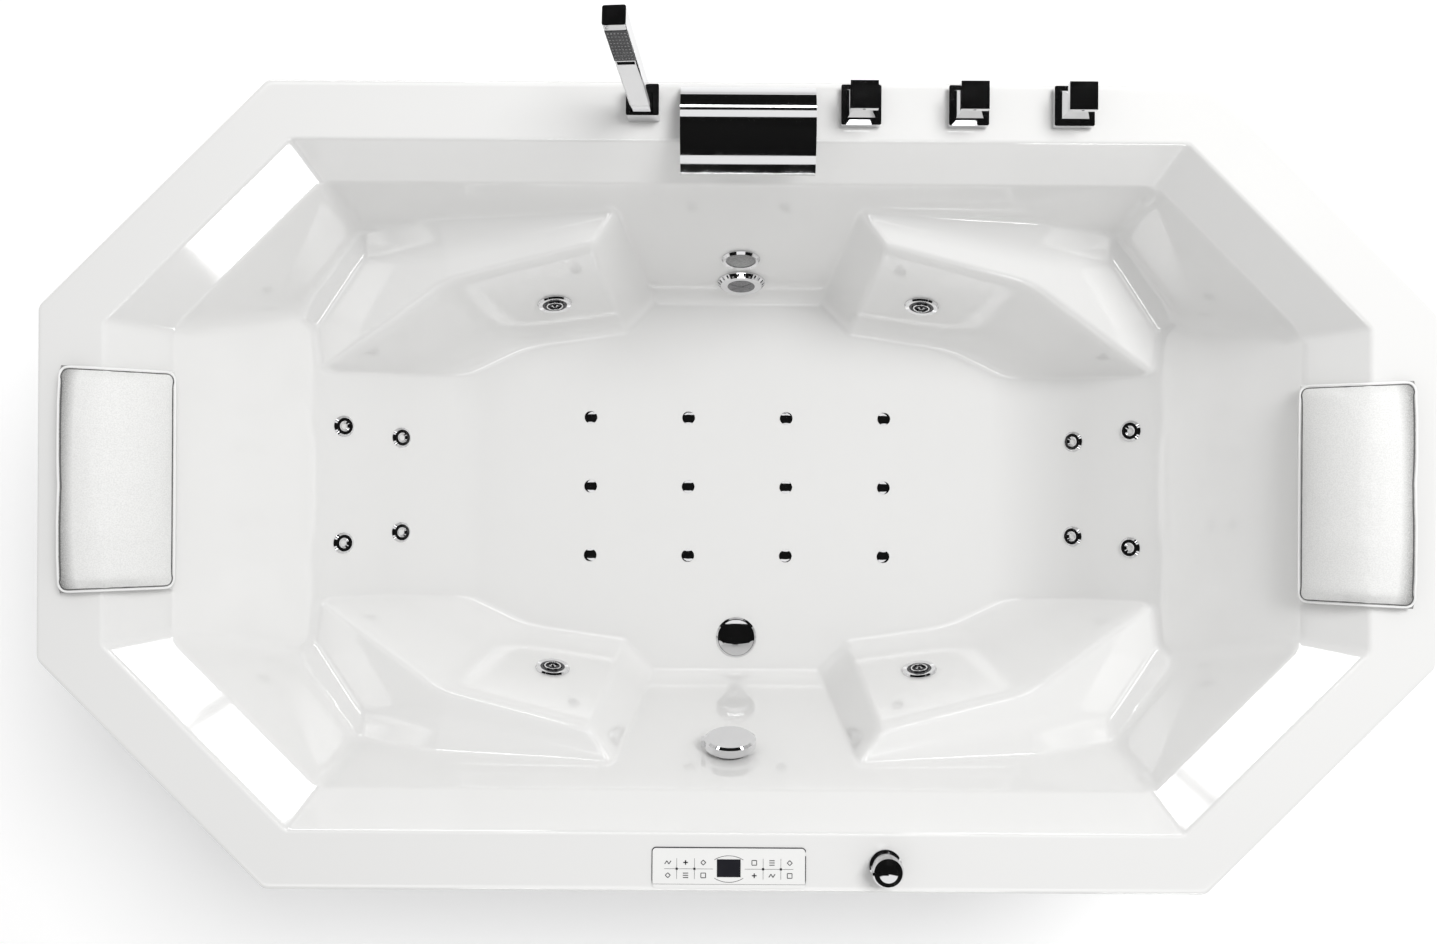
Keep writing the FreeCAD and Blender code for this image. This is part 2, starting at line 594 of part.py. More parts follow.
JET_SPOT = spot(POD_FACE, JET_DEPTH, x=JET_X)
BACK_SPOTS = [spot(LOWER_BACK, INNER_DEPTH - above, y=y) for y, above in BACK_JET_SPOTS]
SUCTION_SPOT = spot(SIDE_WALL, INNER_DEPTH - SUCTION_ABOVE_FLOOR, x=SUCTION_X)
LAMP_SPOT = spot(SIDE_WALL, INNER_DEPTH - LAMP_ABOVE_FLOOR, x=LAMP_X)
OVERFLOW_SPOT = spot(FRONT_WALL, OVERFLOW_DEPTH, x=OVERFLOW_X)
DRAIN_SPOT = Vector(0, DRAIN_Y, FLOOR_Z)
AIR_JET_SPOTS = [
    Vector((i - (AIR_JET_COLUMNS - 1) / 2) * AIR_JET_PITCH_X,
           (j - (AIR_JET_ROWS - 1) / 2) * AIR_JET_PITCH_Y, FLOOR_Z)
    for i in range(AIR_JET_COLUMNS)
    for j in range(AIR_JET_ROWS)
]
CONTROL_SPOTS = [Vector(x, TAP_Y, RIM_HEIGHT) for x in CONTROL_X]
HOLDER_SPOT = Vector(HOLDER_X, TAP_Y, RIM_HEIGHT)
SPOUT_SPOT = Vector(SPOUT_X, HALF_WIDTH, RIM_HEIGHT)
KEYPAD_SPOT = Vector(KEYPAD_X, KEYPAD_LINE - HALF_WIDTH, RIM_HEIGHT)
AIR_KNOB_SPOT = Vector(AIR_KNOB_X, AIR_KNOB_LINE - HALF_WIDTH, RIM_HEIGHT)
AIR_VALVE_RADIUS = AIR_KNOB_RADIUS - 3.0
SPOUT_TAIL_SPOT = Vector(SPOUT_X, TAP_Y, RIM_HEIGHT)
PEG_X = HALF_LENGTH - END_DECK_WIDTH + PILLOW_ON_RIM / 2


def through(radius, point, axis):
    """A drill through the shell at a point of its inner face."""
    drill = disc(radius + HOLE_CLEARANCE, 4 * WALL, -3 * WALL)
    return set_on(drill, point, axis)


def keypad_opening():
    return rounded_box(
        KEYPAD_LENGTH - 2 * KEYPAD_BOX_MARGIN + 2 * HOLE_CLEARANCE,
        KEYPAD_WIDTH - 2 * KEYPAD_BOX_MARGIN + 2 * HOLE_CLEARANCE,
        4 * WALL, KEYPAD_CORNER, KEYPAD_SPOT.x, KEYPAD_SPOT.y, RIM_HEIGHT - 3 * WALL,
    )


def peg_spots(side):
    """Where the pegs of one pillow stand in the rim. side is -1 or +1."""
    y = -side * PILLOW_Y
    return [Vector(side * PEG_X, y + k * PEG_SPACING / 2, RIM_HEIGHT) for k in (-1, 1)]


def tub_shell():
    outer = cavity(WALL).common(centred_box(LENGTH, WIDTH, RIM_HEIGHT))
    drills = four_ways(through(JET_NECK_RADIUS, JET_SPOT, inward(POD_FACE)))
    for back_spot in BACK_SPOTS:
        drills += four_ways(through(BACK_JET_NECK, back_spot, inward(LOWER_BACK)))
    drills.append(through(SUCTION_NECK, SUCTION_SPOT, inward(SIDE_WALL)))
    drills.append(through(LAMP_NECK, LAMP_SPOT, inward(SIDE_WALL)))
    drills.append(through(OVERFLOW_NECK, OVERFLOW_SPOT, inward(FRONT_WALL)))
    drills.append(through(DRAIN_NECK, DRAIN_SPOT, UP))
    drills += [through(AIR_JET_NECK, p, UP) for p in AIR_JET_SPOTS]
    drills += [through(TAIL_RADIUS, p, UP) for p in CONTROL_SPOTS]
    drills.append(through(HOLDER_TAIL, HOLDER_SPOT, UP))
    drills.append(through(SPOUT_TAIL, SPOUT_TAIL_SPOT, UP))
    drills.append(through(AIR_VALVE_RADIUS, AIR_KNOB_SPOT, UP))
    drills += [through(PEG_RADIUS, p, UP) for p in peg_spots(-1) + peg_spots(1)]
    drills.append(keypad_opening())
    return rim().fuse(outer).cut(cavity(0)).cut(drills).removeSplitter()


# ---- Water jets -----------------------------------------------------------------------------
def jet_flange():
    """Fixed ring with a neck through the shell. The nozzle turns in its bore."""
    edge = 2.0
    profile = [
        (JET_BORE_RADIUS, -WALL - JET_FLANGE_HEIGHT), (JET_NECK_RADIUS, -WALL - JET_FLANGE_HEIGHT),
        (JET_NECK_RADIUS, 0), (JET_FLANGE_RADIUS, 0), (JET_FLANGE_RADIUS, edge),
        (JET_FLANGE_RADIUS - edge, JET_FLANGE_HEIGHT), (JET_BORE_RADIUS, JET_FLANGE_HEIGHT - 1),
    ]
    return turned(profile)


def jet_nozzle():
    """Turning nozzle: a dished face with slots round an open middle."""
    radius = JET_BORE_RADIUS - SPINDLE_CLEARANCE
    hub = radius * 0.32
    top = JET_FLANGE_HEIGHT - 1
    body = turned([
        (0, top - JET_NOZZLE_HEIGHT), (radius, top - JET_NOZZLE_HEIGHT), (radius, top),
        (radius - 2.5, top), (radius * 0.55, top - 2), (hub, top + 1), (0, top + 1),
    ])
    slot = centred_box(radius * 0.3, radius * 0.26, JET_NOZZLE_HEIGHT + 4,
                       x=radius * 0.64, bottom=top - JET_NOZZLE_HEIGHT - 1)
    slots = []
    for k in range(JET_SLOT_COUNT):
        copy = slot.copy()
        copy.rotate(Vector(), UP, k * 360 / JET_SLOT_COUNT)
        slots.append(copy)
    mouth = disc(hub * 0.6, JET_NOZZLE_HEIGHT + 4, top - JET_NOZZLE_HEIGHT - 1)
    return body.cut(slots + [mouth])


def jet_body():
    """Wet housing behind the shell, with a nut against it and a closed rear."""
    nut = ring(JET_BODY_RADIUS + 5, JET_NECK_RADIUS + HOLE_CLEARANCE, JET_FLANGE_HEIGHT,
               -WALL - JET_FLANGE_HEIGHT)
    shell = disc(JET_BODY_RADIUS, JET_BODY_LENGTH, -WALL - JET_FLANGE_HEIGHT - JET_BODY_LENGTH)
    bore = disc(JET_BORE_RADIUS, JET_BODY_LENGTH - 6, -WALL - JET_FLANGE_HEIGHT - JET_BODY_LENGTH + 6)
    return nut.fuse(shell).cut(bore)


JET_REAR = JET_SPOT + POD_FACE[1] * (WALL + JET_FLANGE_HEIGHT + JET_BODY_LENGTH)
FEED_CORNER = JET_REAR + POD_FACE[1] * ((MAIN_PIPE_Y - JET_REAR.y) / POD_FACE[1].y)


def jet_feed():
    """Pipe from the jet body of the +X +Y quarter up to the main pipe."""
    end = Vector(FEED_CORNER.x, MAIN_PIPE_Y, MAIN_PIPE_HEIGHT)
    return bent_bar([JET_REAR, FEED_CORNER, end], FEED_RADIUS, 2 * FEED_RADIUS).cut(main_pipe_line())


def back_jet():
    profile = [
        (BACK_JET_MOUTH, -WALL), (BACK_JET_NECK, -WALL), (BACK_JET_NECK, 0),
        (BACK_JET_RADIUS, 0), (BACK_JET_RADIUS, BACK_JET_HEIGHT / 3),
        (BACK_JET_RADIUS * 0.8, BACK_JET_HEIGHT), (BACK_JET_RADIUS * 0.5, BACK_JET_HEIGHT),
        (BACK_JET_MOUTH, BACK_JET_HEIGHT / 2),
    ]
    return turned(profile)


def back_jet_body():
    return disc(BACK_JET_BODY_RADIUS, BACK_JET_BODY_LENGTH, -WALL - BACK_JET_BODY_LENGTH)


def back_feed(back_spot):
    """Hose from a back jet's body to the main pipe behind the backrest."""
    start = back_spot + LOWER_BACK[1] * (WALL + BACK_JET_BODY_LENGTH)
    bend = start + LOWER_BACK[1] * BACK_FEED_DROP
    corner = Vector(MAIN_PIPE_END_X, bend.y, bend.z)
    end = Vector(MAIN_PIPE_END_X, bend.y, MAIN_PIPE_HEIGHT)
    hose = bent_bar([start, bend, corner, end], BACK_FEED_RADIUS, 3 * BACK_FEED_RADIUS)
    across = Vector(0, MAIN_PIPE_BEND_Y, 0)
    return hose.cut(between(end - across, end + across, PIPE_RADIUS))


# ---- Suction, lamp, overflow, drain ---------------------------------------------------------
def suction_cover():
    """Ribbed ring round a face with two slots, and a neck through the shell."""
    face = turned([
        (0, -WALL), (SUCTION_NECK, -WALL), (SUCTION_NECK, 0), (SUCTION_RADIUS, 0),
        (SUCTION_RADIUS, 3), (SUCTION_RADIUS - 6, SUCTION_HEIGHT), (0, SUCTION_HEIGHT),
    ])
    gap = centred_box(6, 3.4, SUCTION_HEIGHT, x=SUCTION_RADIUS - 2, bottom=3.5)
    gaps = []
    for k in range(SUCTION_RIBS):
        copy = gap.copy()
        copy.rotate(Vector(), UP, (k + 0.5) * 360 / SUCTION_RIBS)
        gaps.append(copy)
    slots = [centred_box(30, 4, SUCTION_HEIGHT, y=y, bottom=SUCTION_HEIGHT - 4) for y in (-9, 9)]
    return face.cut(gaps + slots)


def suction_body():
    shell = disc(SUCTION_BODY_RADIUS, SUCTION_BODY_LENGTH, -WALL - SUCTION_BODY_LENGTH)
    rib = disc(SUCTION_BODY_RADIUS + 4, 6, -WALL - 6)
    return shell.fuse(rib)


def lamp_ring():
    profile = [
        (LAMP_LENS_RADIUS, -WALL), (LAMP_NECK, -WALL), (LAMP_NECK, 0), (LAMP_RADIUS, 0),
        (LAMP_RADIUS, 2), (LAMP_RADIUS - 3, LAMP_HEIGHT), (LAMP_LENS_RADIUS, LAMP_HEIGHT - 2),
    ]
    return turned(profile)


def lamp_lens():
    lens = domed(LAMP_LENS_RADIUS - SEAT_GAP, 2, 6)
    lens.translate(UP * (LAMP_HEIGHT - 5))
    return lens


def lamp_body():
    return disc(LAMP_BODY_RADIUS, LAMP_BODY_LENGTH, -WALL - LAMP_BODY_LENGTH)


def overflow_knob():
    """Turning disc that stands off the wall, with a small finger tab on its edge."""
    base = OVERFLOW_STAND
    body = turned([
        (0, base), (OVERFLOW_RADIUS - 3, base), (OVERFLOW_RADIUS, base + 3),
        (OVERFLOW_RADIUS, OVERFLOW_HEIGHT - 3), (OVERFLOW_RADIUS - 4, OVERFLOW_HEIGHT),
        (0, OVERFLOW_HEIGHT),
    ])
    tab = centred_box(9, 14, OVERFLOW_HEIGHT - base - 6, x=-OVERFLOW_RADIUS, bottom=base + 3)
    spindle = disc(OVERFLOW_SPINDLE, base + WALL, -WALL)
    return fused([body, tab, spindle])


def overflow_body():
    """Housing behind the wall: a perforated bearing plate in the neck, and a box behind it."""
    back = -WALL - OVERFLOW_BODY_LENGTH
    shell = disc(OVERFLOW_BODY_RADIUS, OVERFLOW_BODY_LENGTH, back)
    neck = disc(OVERFLOW_NECK, WALL, -WALL)
    bore = disc(OVERFLOW_NECK - 3, OVERFLOW_BODY_LENGTH + WALL - 6, back + 6)
    bearing = disc(OVERFLOW_SPINDLE + 5, OVERFLOW_BODY_LENGTH, back)
    arms = centred_box(2 * OVERFLOW_NECK - 2, 5, 4, bottom=-WALL)
    hole = disc(OVERFLOW_SPINDLE + SPINDLE_CLEARANCE, WALL + 1, -WALL)
    return shell.fuse(neck).cut(bore).fuse([bearing, arms]).cut(hole).removeSplitter()


def drain_flange():
    profile = [
        (DRAIN_BORE, -WALL), (DRAIN_NECK, -WALL), (DRAIN_NECK, 0), (DRAIN_RADIUS, 0),
        (DRAIN_RADIUS, 1), (DRAIN_RADIUS - 3, DRAIN_FLANGE_HEIGHT), (DRAIN_BORE + 3, DRAIN_FLANGE_HEIGHT),
        (DRAIN_BORE, DRAIN_FLANGE_HEIGHT - 2),
    ]
    return turned(profile)


def drain_plug():
    cap = domed(PLUG_RADIUS, PLUG_EDGE_HEIGHT, PLUG_DOME_HEIGHT)
    cap.translate(UP * (DRAIN_FLANGE_HEIGHT + SEAT_GAP))
    stem_bottom = -WALL - 2 * PLUG_LIFT
    stem = disc(PLUG_STEM_RADIUS, DRAIN_FLANGE_HEIGHT + SEAT_GAP + 1 - stem_bottom, stem_bottom)
    return cap.fuse(stem).removeSplitter()


def waste_body():
    """Waste below the floor of the well, with its outlet straight down."""
    place = Vector(0, DRAIN_Y, SHELL_BOTTOM)
    shell = disc(WASTE_BODY_RADIUS, WASTE_BODY_HEIGHT, -WASTE_BODY_HEIGHT)
    flange = disc(DRAIN_RADIUS + 3, 5, -5)
    outlet = disc(WASTE_PIPE_RADIUS, WASTE_PIPE_LENGTH, -WASTE_BODY_HEIGHT - WASTE_PIPE_LENGTH)
    bore = disc(DRAIN_BORE, WASTE_BODY_HEIGHT, 5 - WASTE_BODY_HEIGHT)
    outlet_bore = disc(WASTE_PIPE_RADIUS - 3, WASTE_BODY_HEIGHT, -WASTE_BODY_HEIGHT - WASTE_PIPE_LENGTH)
    return set_on(fused([shell, flange, outlet]).cut([bore, outlet_bore]), place, UP)


# ---- Taps -----------------------------------------------------------------------------------
def control_base():
    plate = rounded_box(CONTROL_BASE, CONTROL_BASE, CONTROL_BASE_HEIGHT, 2.5)
    tail = disc(TAIL_RADIUS, WALL + NUT_HEIGHT, -WALL - NUT_HEIGHT)
    depth = SPINDLE_LENGTH + 1
    bore = disc(SPINDLE_RADIUS + SPINDLE_CLEARANCE, depth, CONTROL_BASE_HEIGHT - depth)
    return plate.fuse(tail).cut(bore)


def square_wire(side, height):
    half = side / 2
    corners = [Vector(half, half, height), Vector(-half, half, height),
               Vector(-half, -half, height), Vector(half, -half, height)]
    return Part.makePolygon(corners + corners[:1])


def control_handle():
    """Handle that narrows to a waist and flares into a square head."""
    foot = CONTROL_BASE_HEIGHT + SEAT_GAP
    head = CONTROL_HEIGHT - CONTROL_HEAD_HEIGHT
    waist = (foot + head) / 2
    lower = Part.makeLoft([square_wire(CONTROL_FOOT, foot), square_wire(CONTROL_WAIST, waist)], True, True)
    upper = Part.makeLoft([square_wire(CONTROL_WAIST, waist), square_wire(CONTROL_HEAD, head)], True, True)
    block = centred_box(CONTROL_HEAD, CONTROL_HEAD, CONTROL_HEAD_HEIGHT, bottom=head)
    front = Vector(0, -CONTROL_HEAD / 2, head + CONTROL_HEAD_HEIGHT / 2)
    dot = Part.makeCylinder(2, 1, front, Vector(0, 1, 0))
    spindle = disc(SPINDLE_RADIUS, SPINDLE_LENGTH + 1, foot - SPINDLE_LENGTH)
    return fused([lower, upper, block, spindle]).cut(dot)


def valve_body(with_inlet):
    top = -WALL - NUT_HEIGHT
    body = rounded_box(VALVE_SIDE, VALVE_SIDE, VALVE_HEIGHT, 6, bottom=top - VALVE_HEIGHT)
    if with_inlet:
        inlet = disc(INLET_RADIUS, INLET_LENGTH + 1, top - VALVE_HEIGHT - INLET_LENGTH)
        body = body.fuse(inlet)
    return body


def shower_axis():
    """Direction of the handset, which leans back and a little to one side."""
    back = math.radians(SHOWER_LEAN)
    side = math.radians(SHOWER_SIDE_LEAN)
    return Vector(math.tan(side), math.tan(back), 1).normalize()


SOCKET_FLOOR = HOLDER_SPOT + Vector(0, -SHOWER_FORWARD, HOLDER_HEIGHT - SOCKET_DEPTH)


def along_shower(shape):
    """A shape made round +Z, put on the axis of the handset with its flat sides to the tub."""
    axis = shower_axis()
    side = Vector(1, 0, 0) - axis * axis.x
    copy = shape.copy()
    placing = Placement(SOCKET_FLOOR, Rotation(side, Vector(), axis, "ZXY"))
    copy.Placement = placing.multiply(copy.Placement)
    return copy


def shower_holder():
    block = rounded_box(HOLDER_LENGTH, HOLDER_WIDTH, HOLDER_HEIGHT, 2.5)
    tail = disc(HOLDER_TAIL, WALL + NUT_HEIGHT, -WALL - NUT_HEIGHT)
    holder = set_on(block.fuse(tail), HOLDER_SPOT, UP)
    socket = centred_box(SHOWER_WIDTH + 2 * SOCKET_CLEARANCE, SHOWER_THICKNESS + 2 * SOCKET_CLEARANCE,
                         2 * SOCKET_DEPTH)
    return holder.cut(along_shower(socket))


def spray_recess(depth):
    middle = SHOWER_LENGTH - SPRAY_TOP - SPRAY_LENGTH / 2
    front = -SHOWER_THICKNESS / 2
    return Part.makeBox(SPRAY_WIDTH, depth, SPRAY_LENGTH,
                        Vector(-SPRAY_WIDTH / 2, front, middle - SPRAY_LENGTH / 2))


def hand_shower():
    stick = rounded_box(SHOWER_WIDTH, SHOWER_THICKNESS, SHOWER_LENGTH - SEAT_GAP, 3, bottom=SEAT_GAP)
    return along_shower(stick.cut(spray_recess(SPRAY_THICKNESS)))


def spray_plate():
    return along_shower(spray_recess(SPRAY_THICKNESS))


def arc_to(start, middle, end):
    return Part.Arc(start, middle, end).toShape()


def waterfall_spout():
    """Curved plate on a foot, which throws a sheet of water over the edge of the rim."""
    def at(back, height):
        return Vector(-SPOUT_WIDTH / 2, -back, height)

    heel = at(SPOUT_BACK, 0)
    peak = at(SPOUT_PEAK_Y, SPOUT_PEAK)
    lip = at(SPOUT_REACH, SPOUT_LIP)
    lip_under = at(SPOUT_REACH - 1, SPOUT_LIP - SPOUT_PLATE)
    throat = at(SPOUT_BACK + SPOUT_FOOT + 8, SPOUT_PEAK - 1.6 * SPOUT_PLATE - 4)
    toe = at(SPOUT_BACK + SPOUT_FOOT, 0)
    top_back = at(SPOUT_BACK + 9, SPOUT_PEAK * 0.62)
    top_front = at((SPOUT_PEAK_Y + SPOUT_REACH) / 2, SPOUT_PEAK - 7)
    under = at((SPOUT_BACK + SPOUT_FOOT + SPOUT_REACH) / 2, SPOUT_PEAK - 1.6 * SPOUT_PLATE - 10)
    outline = Part.Wire([
        arc_to(heel, top_back, peak), arc_to(peak, top_front, lip), Part.makeLine(lip, lip_under),
        arc_to(lip_under, under, throat), Part.makeLine(throat, toe), Part.makeLine(toe, heel),
    ])
    body = Part.Face(outline).extrude(Vector(SPOUT_WIDTH, 0, 0))
    mouth = Part.makeBox(SPOUT_WIDTH - 12, 14, SPOUT_PLATE - 5,
                         Vector(6 - SPOUT_WIDTH / 2, -SPOUT_REACH - 2, SPOUT_LIP - SPOUT_PLATE + 2.5))
    tail = Part.makeCylinder(SPOUT_TAIL, WALL + NUT_HEIGHT + 1,
                             Vector(0, -TAP_LINE, -WALL - NUT_HEIGHT))
    return set_on(body.cut(mouth).fuse(tail), SPOUT_SPOT, UP)


def deck_nut(radius, inner):
    return ring(radius, inner + HOLE_CLEARANCE, NUT_HEIGHT, -WALL - NUT_HEIGHT)


# ---- Controls on the front rim --------------------------------------------------------------
def keypad_plate():
    plate = rounded_box(KEYPAD_LENGTH, KEYPAD_WIDTH, KEYPAD_HEIGHT, KEYPAD_CORNER)
    return plate.cut(centred_box(DISPLAY_LENGTH, DISPLAY_WIDTH, KEYPAD_HEIGHT))


def keypad_display():
    return centred_box(DISPLAY_LENGTH, DISPLAY_WIDTH, KEYPAD_HEIGHT + DISPLAY_PROUD)


def keypad_housing():
    return rounded_box(
        KEYPAD_LENGTH - 2 * KEYPAD_BOX_MARGIN, KEYPAD_WIDTH - 2 * KEYPAD_BOX_MARGIN,
        KEYPAD_BOX_HEIGHT, KEYPAD_CORNER, bottom=-KEYPAD_BOX_HEIGHT,
    )


def air_collar():
    profile = [
        (SPINDLE_RADIUS + SPINDLE_CLEARANCE, -WALL), (AIR_VALVE_RADIUS, -WALL), (AIR_VALVE_RADIUS, 0),
        (AIR_COLLAR_RADIUS, 0), (AIR_COLLAR_RADIUS, AIR_COLLAR_HEIGHT - 2),
        (AIR_COLLAR_RADIUS - 2, AIR_COLLAR_HEIGHT),
        (SPINDLE_RADIUS + SPINDLE_CLEARANCE, AIR_COLLAR_HEIGHT),
    ]
    return turned(profile)


def air_knob():
    """Knob that widens towards a shallow dome, with a pointer rib."""
    foot = AIR_COLLAR_HEIGHT + SEAT_GAP
    top = AIR_COLLAR_HEIGHT + AIR_KNOB_HEIGHT
    body = turned([
        (0, foot - AIR_COLLAR_HEIGHT), (SPINDLE_RADIUS, foot - AIR_COLLAR_HEIGHT),
        (SPINDLE_RADIUS, foot), (AIR_KNOB_RADIUS - 2, foot), (AIR_KNOB_RADIUS, foot + 3),
        (AIR_KNOB_TOP_RADIUS, top - 9), (AIR_KNOB_TOP_RADIUS - 2.5, top - 4),
        (AIR_KNOB_TOP_RADIUS - 9, top - 1), (0, top),
    ])
    pointer = Part.makeBox(AIR_KNOB_TOP_RADIUS, 4, 9, Vector(-AIR_KNOB_TOP_RADIUS, -2, top - 9))
    return body.fuse(pointer)


def air_valve():
    return disc(AIR_VALVE_RADIUS + 4, AIR_VALVE_LENGTH, -WALL - AIR_VALVE_LENGTH)


# ---- Pillows --------------------------------------------------------------------------------
def pillow_section(y, thickness):
    """Outline of the right pillow at one station: flat under, crowned on top, bent over the edge."""
    slope = math.radians(END_BAND_SLOPE)
    down = Vector(-math.cos(slope), 0, -math.sin(slope))
    out = Vector(-math.sin(slope), 0, math.cos(slope))
    fold = Vector(END_TOP, y, RIM_HEIGHT)
    gap = SOFT_GAP / math.cos(slope / 2)
    inner_fold = fold + (UP + out).normalize() * gap
    back = inner_fold + Vector(PILLOW_ON_RIM, 0, 0)
    foot = inner_fold + down * (PILLOW_DROP / math.sin(slope))
    crown = inner_fold + (UP + out).normalize() * thickness
    back_top = back + UP * (thickness * 0.45)
    foot_top = foot + out * (thickness * 0.45)
    upper = (back_top + crown) / 2 + (UP * 0.86 + out * 0.5).normalize() * (thickness * 0.24)
    lower = (foot_top + crown) / 2 + (out * 0.86 + UP * 0.5).normalize() * (thickness * 0.3)
    return Part.Wire([
        Part.makeLine(foot, inner_fold), Part.makeLine(inner_fold, back), Part.makeLine(back, back_top),
        arc_to(back_top, upper, crown), arc_to(crown, lower, foot_top), Part.makeLine(foot_top, foot),
    ])


def pillow(side):
    """Head pillow draped over the edge of the rim, crowned across its width."""
    half = PILLOW_WIDTH / 2
    stations = ((-1.0, 0.0), (-0.86, 0.62), (-0.45, 0.94), (0.0, 1.0), (0.45, 0.94), (0.86, 0.62), (1.0, 0.0))
    wires = []
    for place, swell in stations:
        thickness = PILLOW_EDGE + (PILLOW_THICKNESS - PILLOW_EDGE) * swell
        wires.append(pillow_section(place * half - PILLOW_Y, thickness))
    body = Part.makeLoft(wires, True, True)
    return body if side > 0 else mirrored(mirrored(body, Vector(1, 0, 0)), Vector(0, 1, 0))


def pillow_pegs(side):
    stem = disc(PEG_RADIUS, PEG_LENGTH, -PEG_LENGTH)
    head = disc(1.8 * PEG_RADIUS, SOFT_GAP - 0.1)
    return [set_on(fused([stem, head]), p, UP) for p in peg_spots(side)]


# ---- Frame and feet -------------------------------------------------------------------------
RAIL_Z = RAIL_BOTTOM + TUBE / 2
POST_SPOTS = [Vector(SIDE_POST_X, SIDE_RAIL_Y, 0), Vector(END_RAIL_X, END_POST_Y, 0)]


def side_rails():
    rail = square_tube(Vector(-SIDE_POST_X - TUBE, SIDE_RAIL_Y, RAIL_Z),
                       Vector(SIDE_POST_X + TUBE, SIDE_RAIL_Y, RAIL_Z), TUBE)
    return [rail, mirrored(rail, Vector(0, 1, 0))]


def end_rails():
    rail = square_tube(Vector(END_RAIL_X, -END_POST_Y - TUBE, RAIL_Z),
                       Vector(END_RAIL_X, END_POST_Y + TUBE, RAIL_Z), TUBE)
    return [rail, mirrored(rail, Vector(1, 0, 0))]


def corner_rails():
    """Diagonal tubes between the side and end rails, cut to meet their faces."""
    start = Vector(SIDE_POST_X, SIDE_RAIL_Y, RAIL_Z)
    end = Vector(END_RAIL_X, END_POST_Y, RAIL_Z)
    rail = square_tube(start, end, TUBE)
    side = centred_box(REACH, TUBE, TUBE, y=SIDE_RAIL_Y, bottom=RAIL_BOTTOM)
    outside = centred_box(REACH, TUBE, TUBE, y=SIDE_RAIL_Y + TUBE, bottom=RAIL_BOTTOM)
    end_side = centred_box(TUBE, REACH, TUBE, x=END_RAIL_X, bottom=RAIL_BOTTOM)
    end_outside = centred_box(TUBE, REACH, TUBE, x=END_RAIL_X + TUBE, bottom=RAIL_BOTTOM)
    return four_ways(rail.cut([side, outside, end_side, end_outside]))


def cross_members():
    reach = SIDE_RAIL_Y - TUBE / 2
    member = square_tube(Vector(CROSS_X, -reach, RAIL_Z), Vector(CROSS_X, reach, RAIL_Z), TUBE)
    return [member, mirrored(member, Vector(1, 0, 0))]


def inner_rails():
    reach = CROSS_X + INNER_RAIL_REACH
    z = RAIL_TOP + TUBE / 2
    rail = square_tube(Vector(-reach, INNER_RAIL_Y, z), Vector(reach, INNER_RAIL_Y, z), TUBE)
    return [rail, mirrored(rail, Vector(0, 1, 0))]


def posts():
    solids = []
    for p in POST_SPOTS:
        post = square_tube(p + UP * RAIL_TOP, p + UP * DECK_UNDERSIDE, POST)
        solids += four_ways(post)
    return solids


def base_board():
    """Board under the floor of the well, on the inner rails."""
    board = centred_box(2 * (CROSS_X + INNER_RAIL_REACH), 2 * (INNER_RAIL_Y + BOARD_OVERHANG),
                        BOARD_THICKNESS, bottom=SHELL_BOTTOM - BOARD_THICKNESS)
    holes = []
    for p in AIR_JET_SPOTS:
        hole = disc(AIR_TAIL_RADIUS + BOARD_HOLE_CLEARANCE, BOARD_THICKNESS)
        holes.append(set_on(hole, Vector(p.x, p.y, SHELL_BOTTOM - BOARD_THICKNESS), UP))
    return board.cut(holes)


def foot_pad():
    return turned([(0, 0), (FOOT_RADIUS, 0), (FOOT_RADIUS, FOOT_HEIGHT * 0.4),
                   (FOOT_RADIUS * 0.5, FOOT_HEIGHT), (0, FOOT_HEIGHT)])


def foot_stud():
    return disc(STUD_RADIUS, RAIL_BOTTOM - FOOT_HEIGHT, FOOT_HEIGHT)


def foot_nut():
    """Hexagon lock nut that holds the stud against the rail."""
    corners = [heading(60 * k) * (FOOT_NUT_WIDTH / math.sqrt(3)) for k in range(6)]
    face = Part.Face(Part.makePolygon(corners + corners[:1]))
    nut = face.extrude(UP * FOOT_NUT_HEIGHT).cut(disc(STUD_RADIUS, FOOT_NUT_HEIGHT))
    nut.translate(UP * (RAIL_BOTTOM - FOOT_NUT_HEIGHT))
    return nut


def under_posts(shape):
    solids = []
    for p in POST_SPOTS:
        solids += four_ways(set_on(shape, p, UP))
    return solids


# ---- Pump and pipes -------------------------------------------------------------------------
SHELF_TOP = RAIL_TOP + SHELF_THICKNESS
PUMP_Z = SHELF_TOP + PUMP_AXIS_HEIGHT
ALONG_X = Vector(1, 0, 0)


def shelves():
    """Plates on the side rails and cross-members: for the pump, the blower and the control box."""
    y = SIDE_RAIL_Y + TUBE / 2 - SHELF_WIDTH / 2
    return [
        centred_box(SHELF_LENGTH, SHELF_WIDTH, SHELF_THICKNESS, sx * SHELF_X, sy * y, RAIL_TOP)
        for sx, sy in ((-1, 1), (-1, -1), (1, -1))
    ]


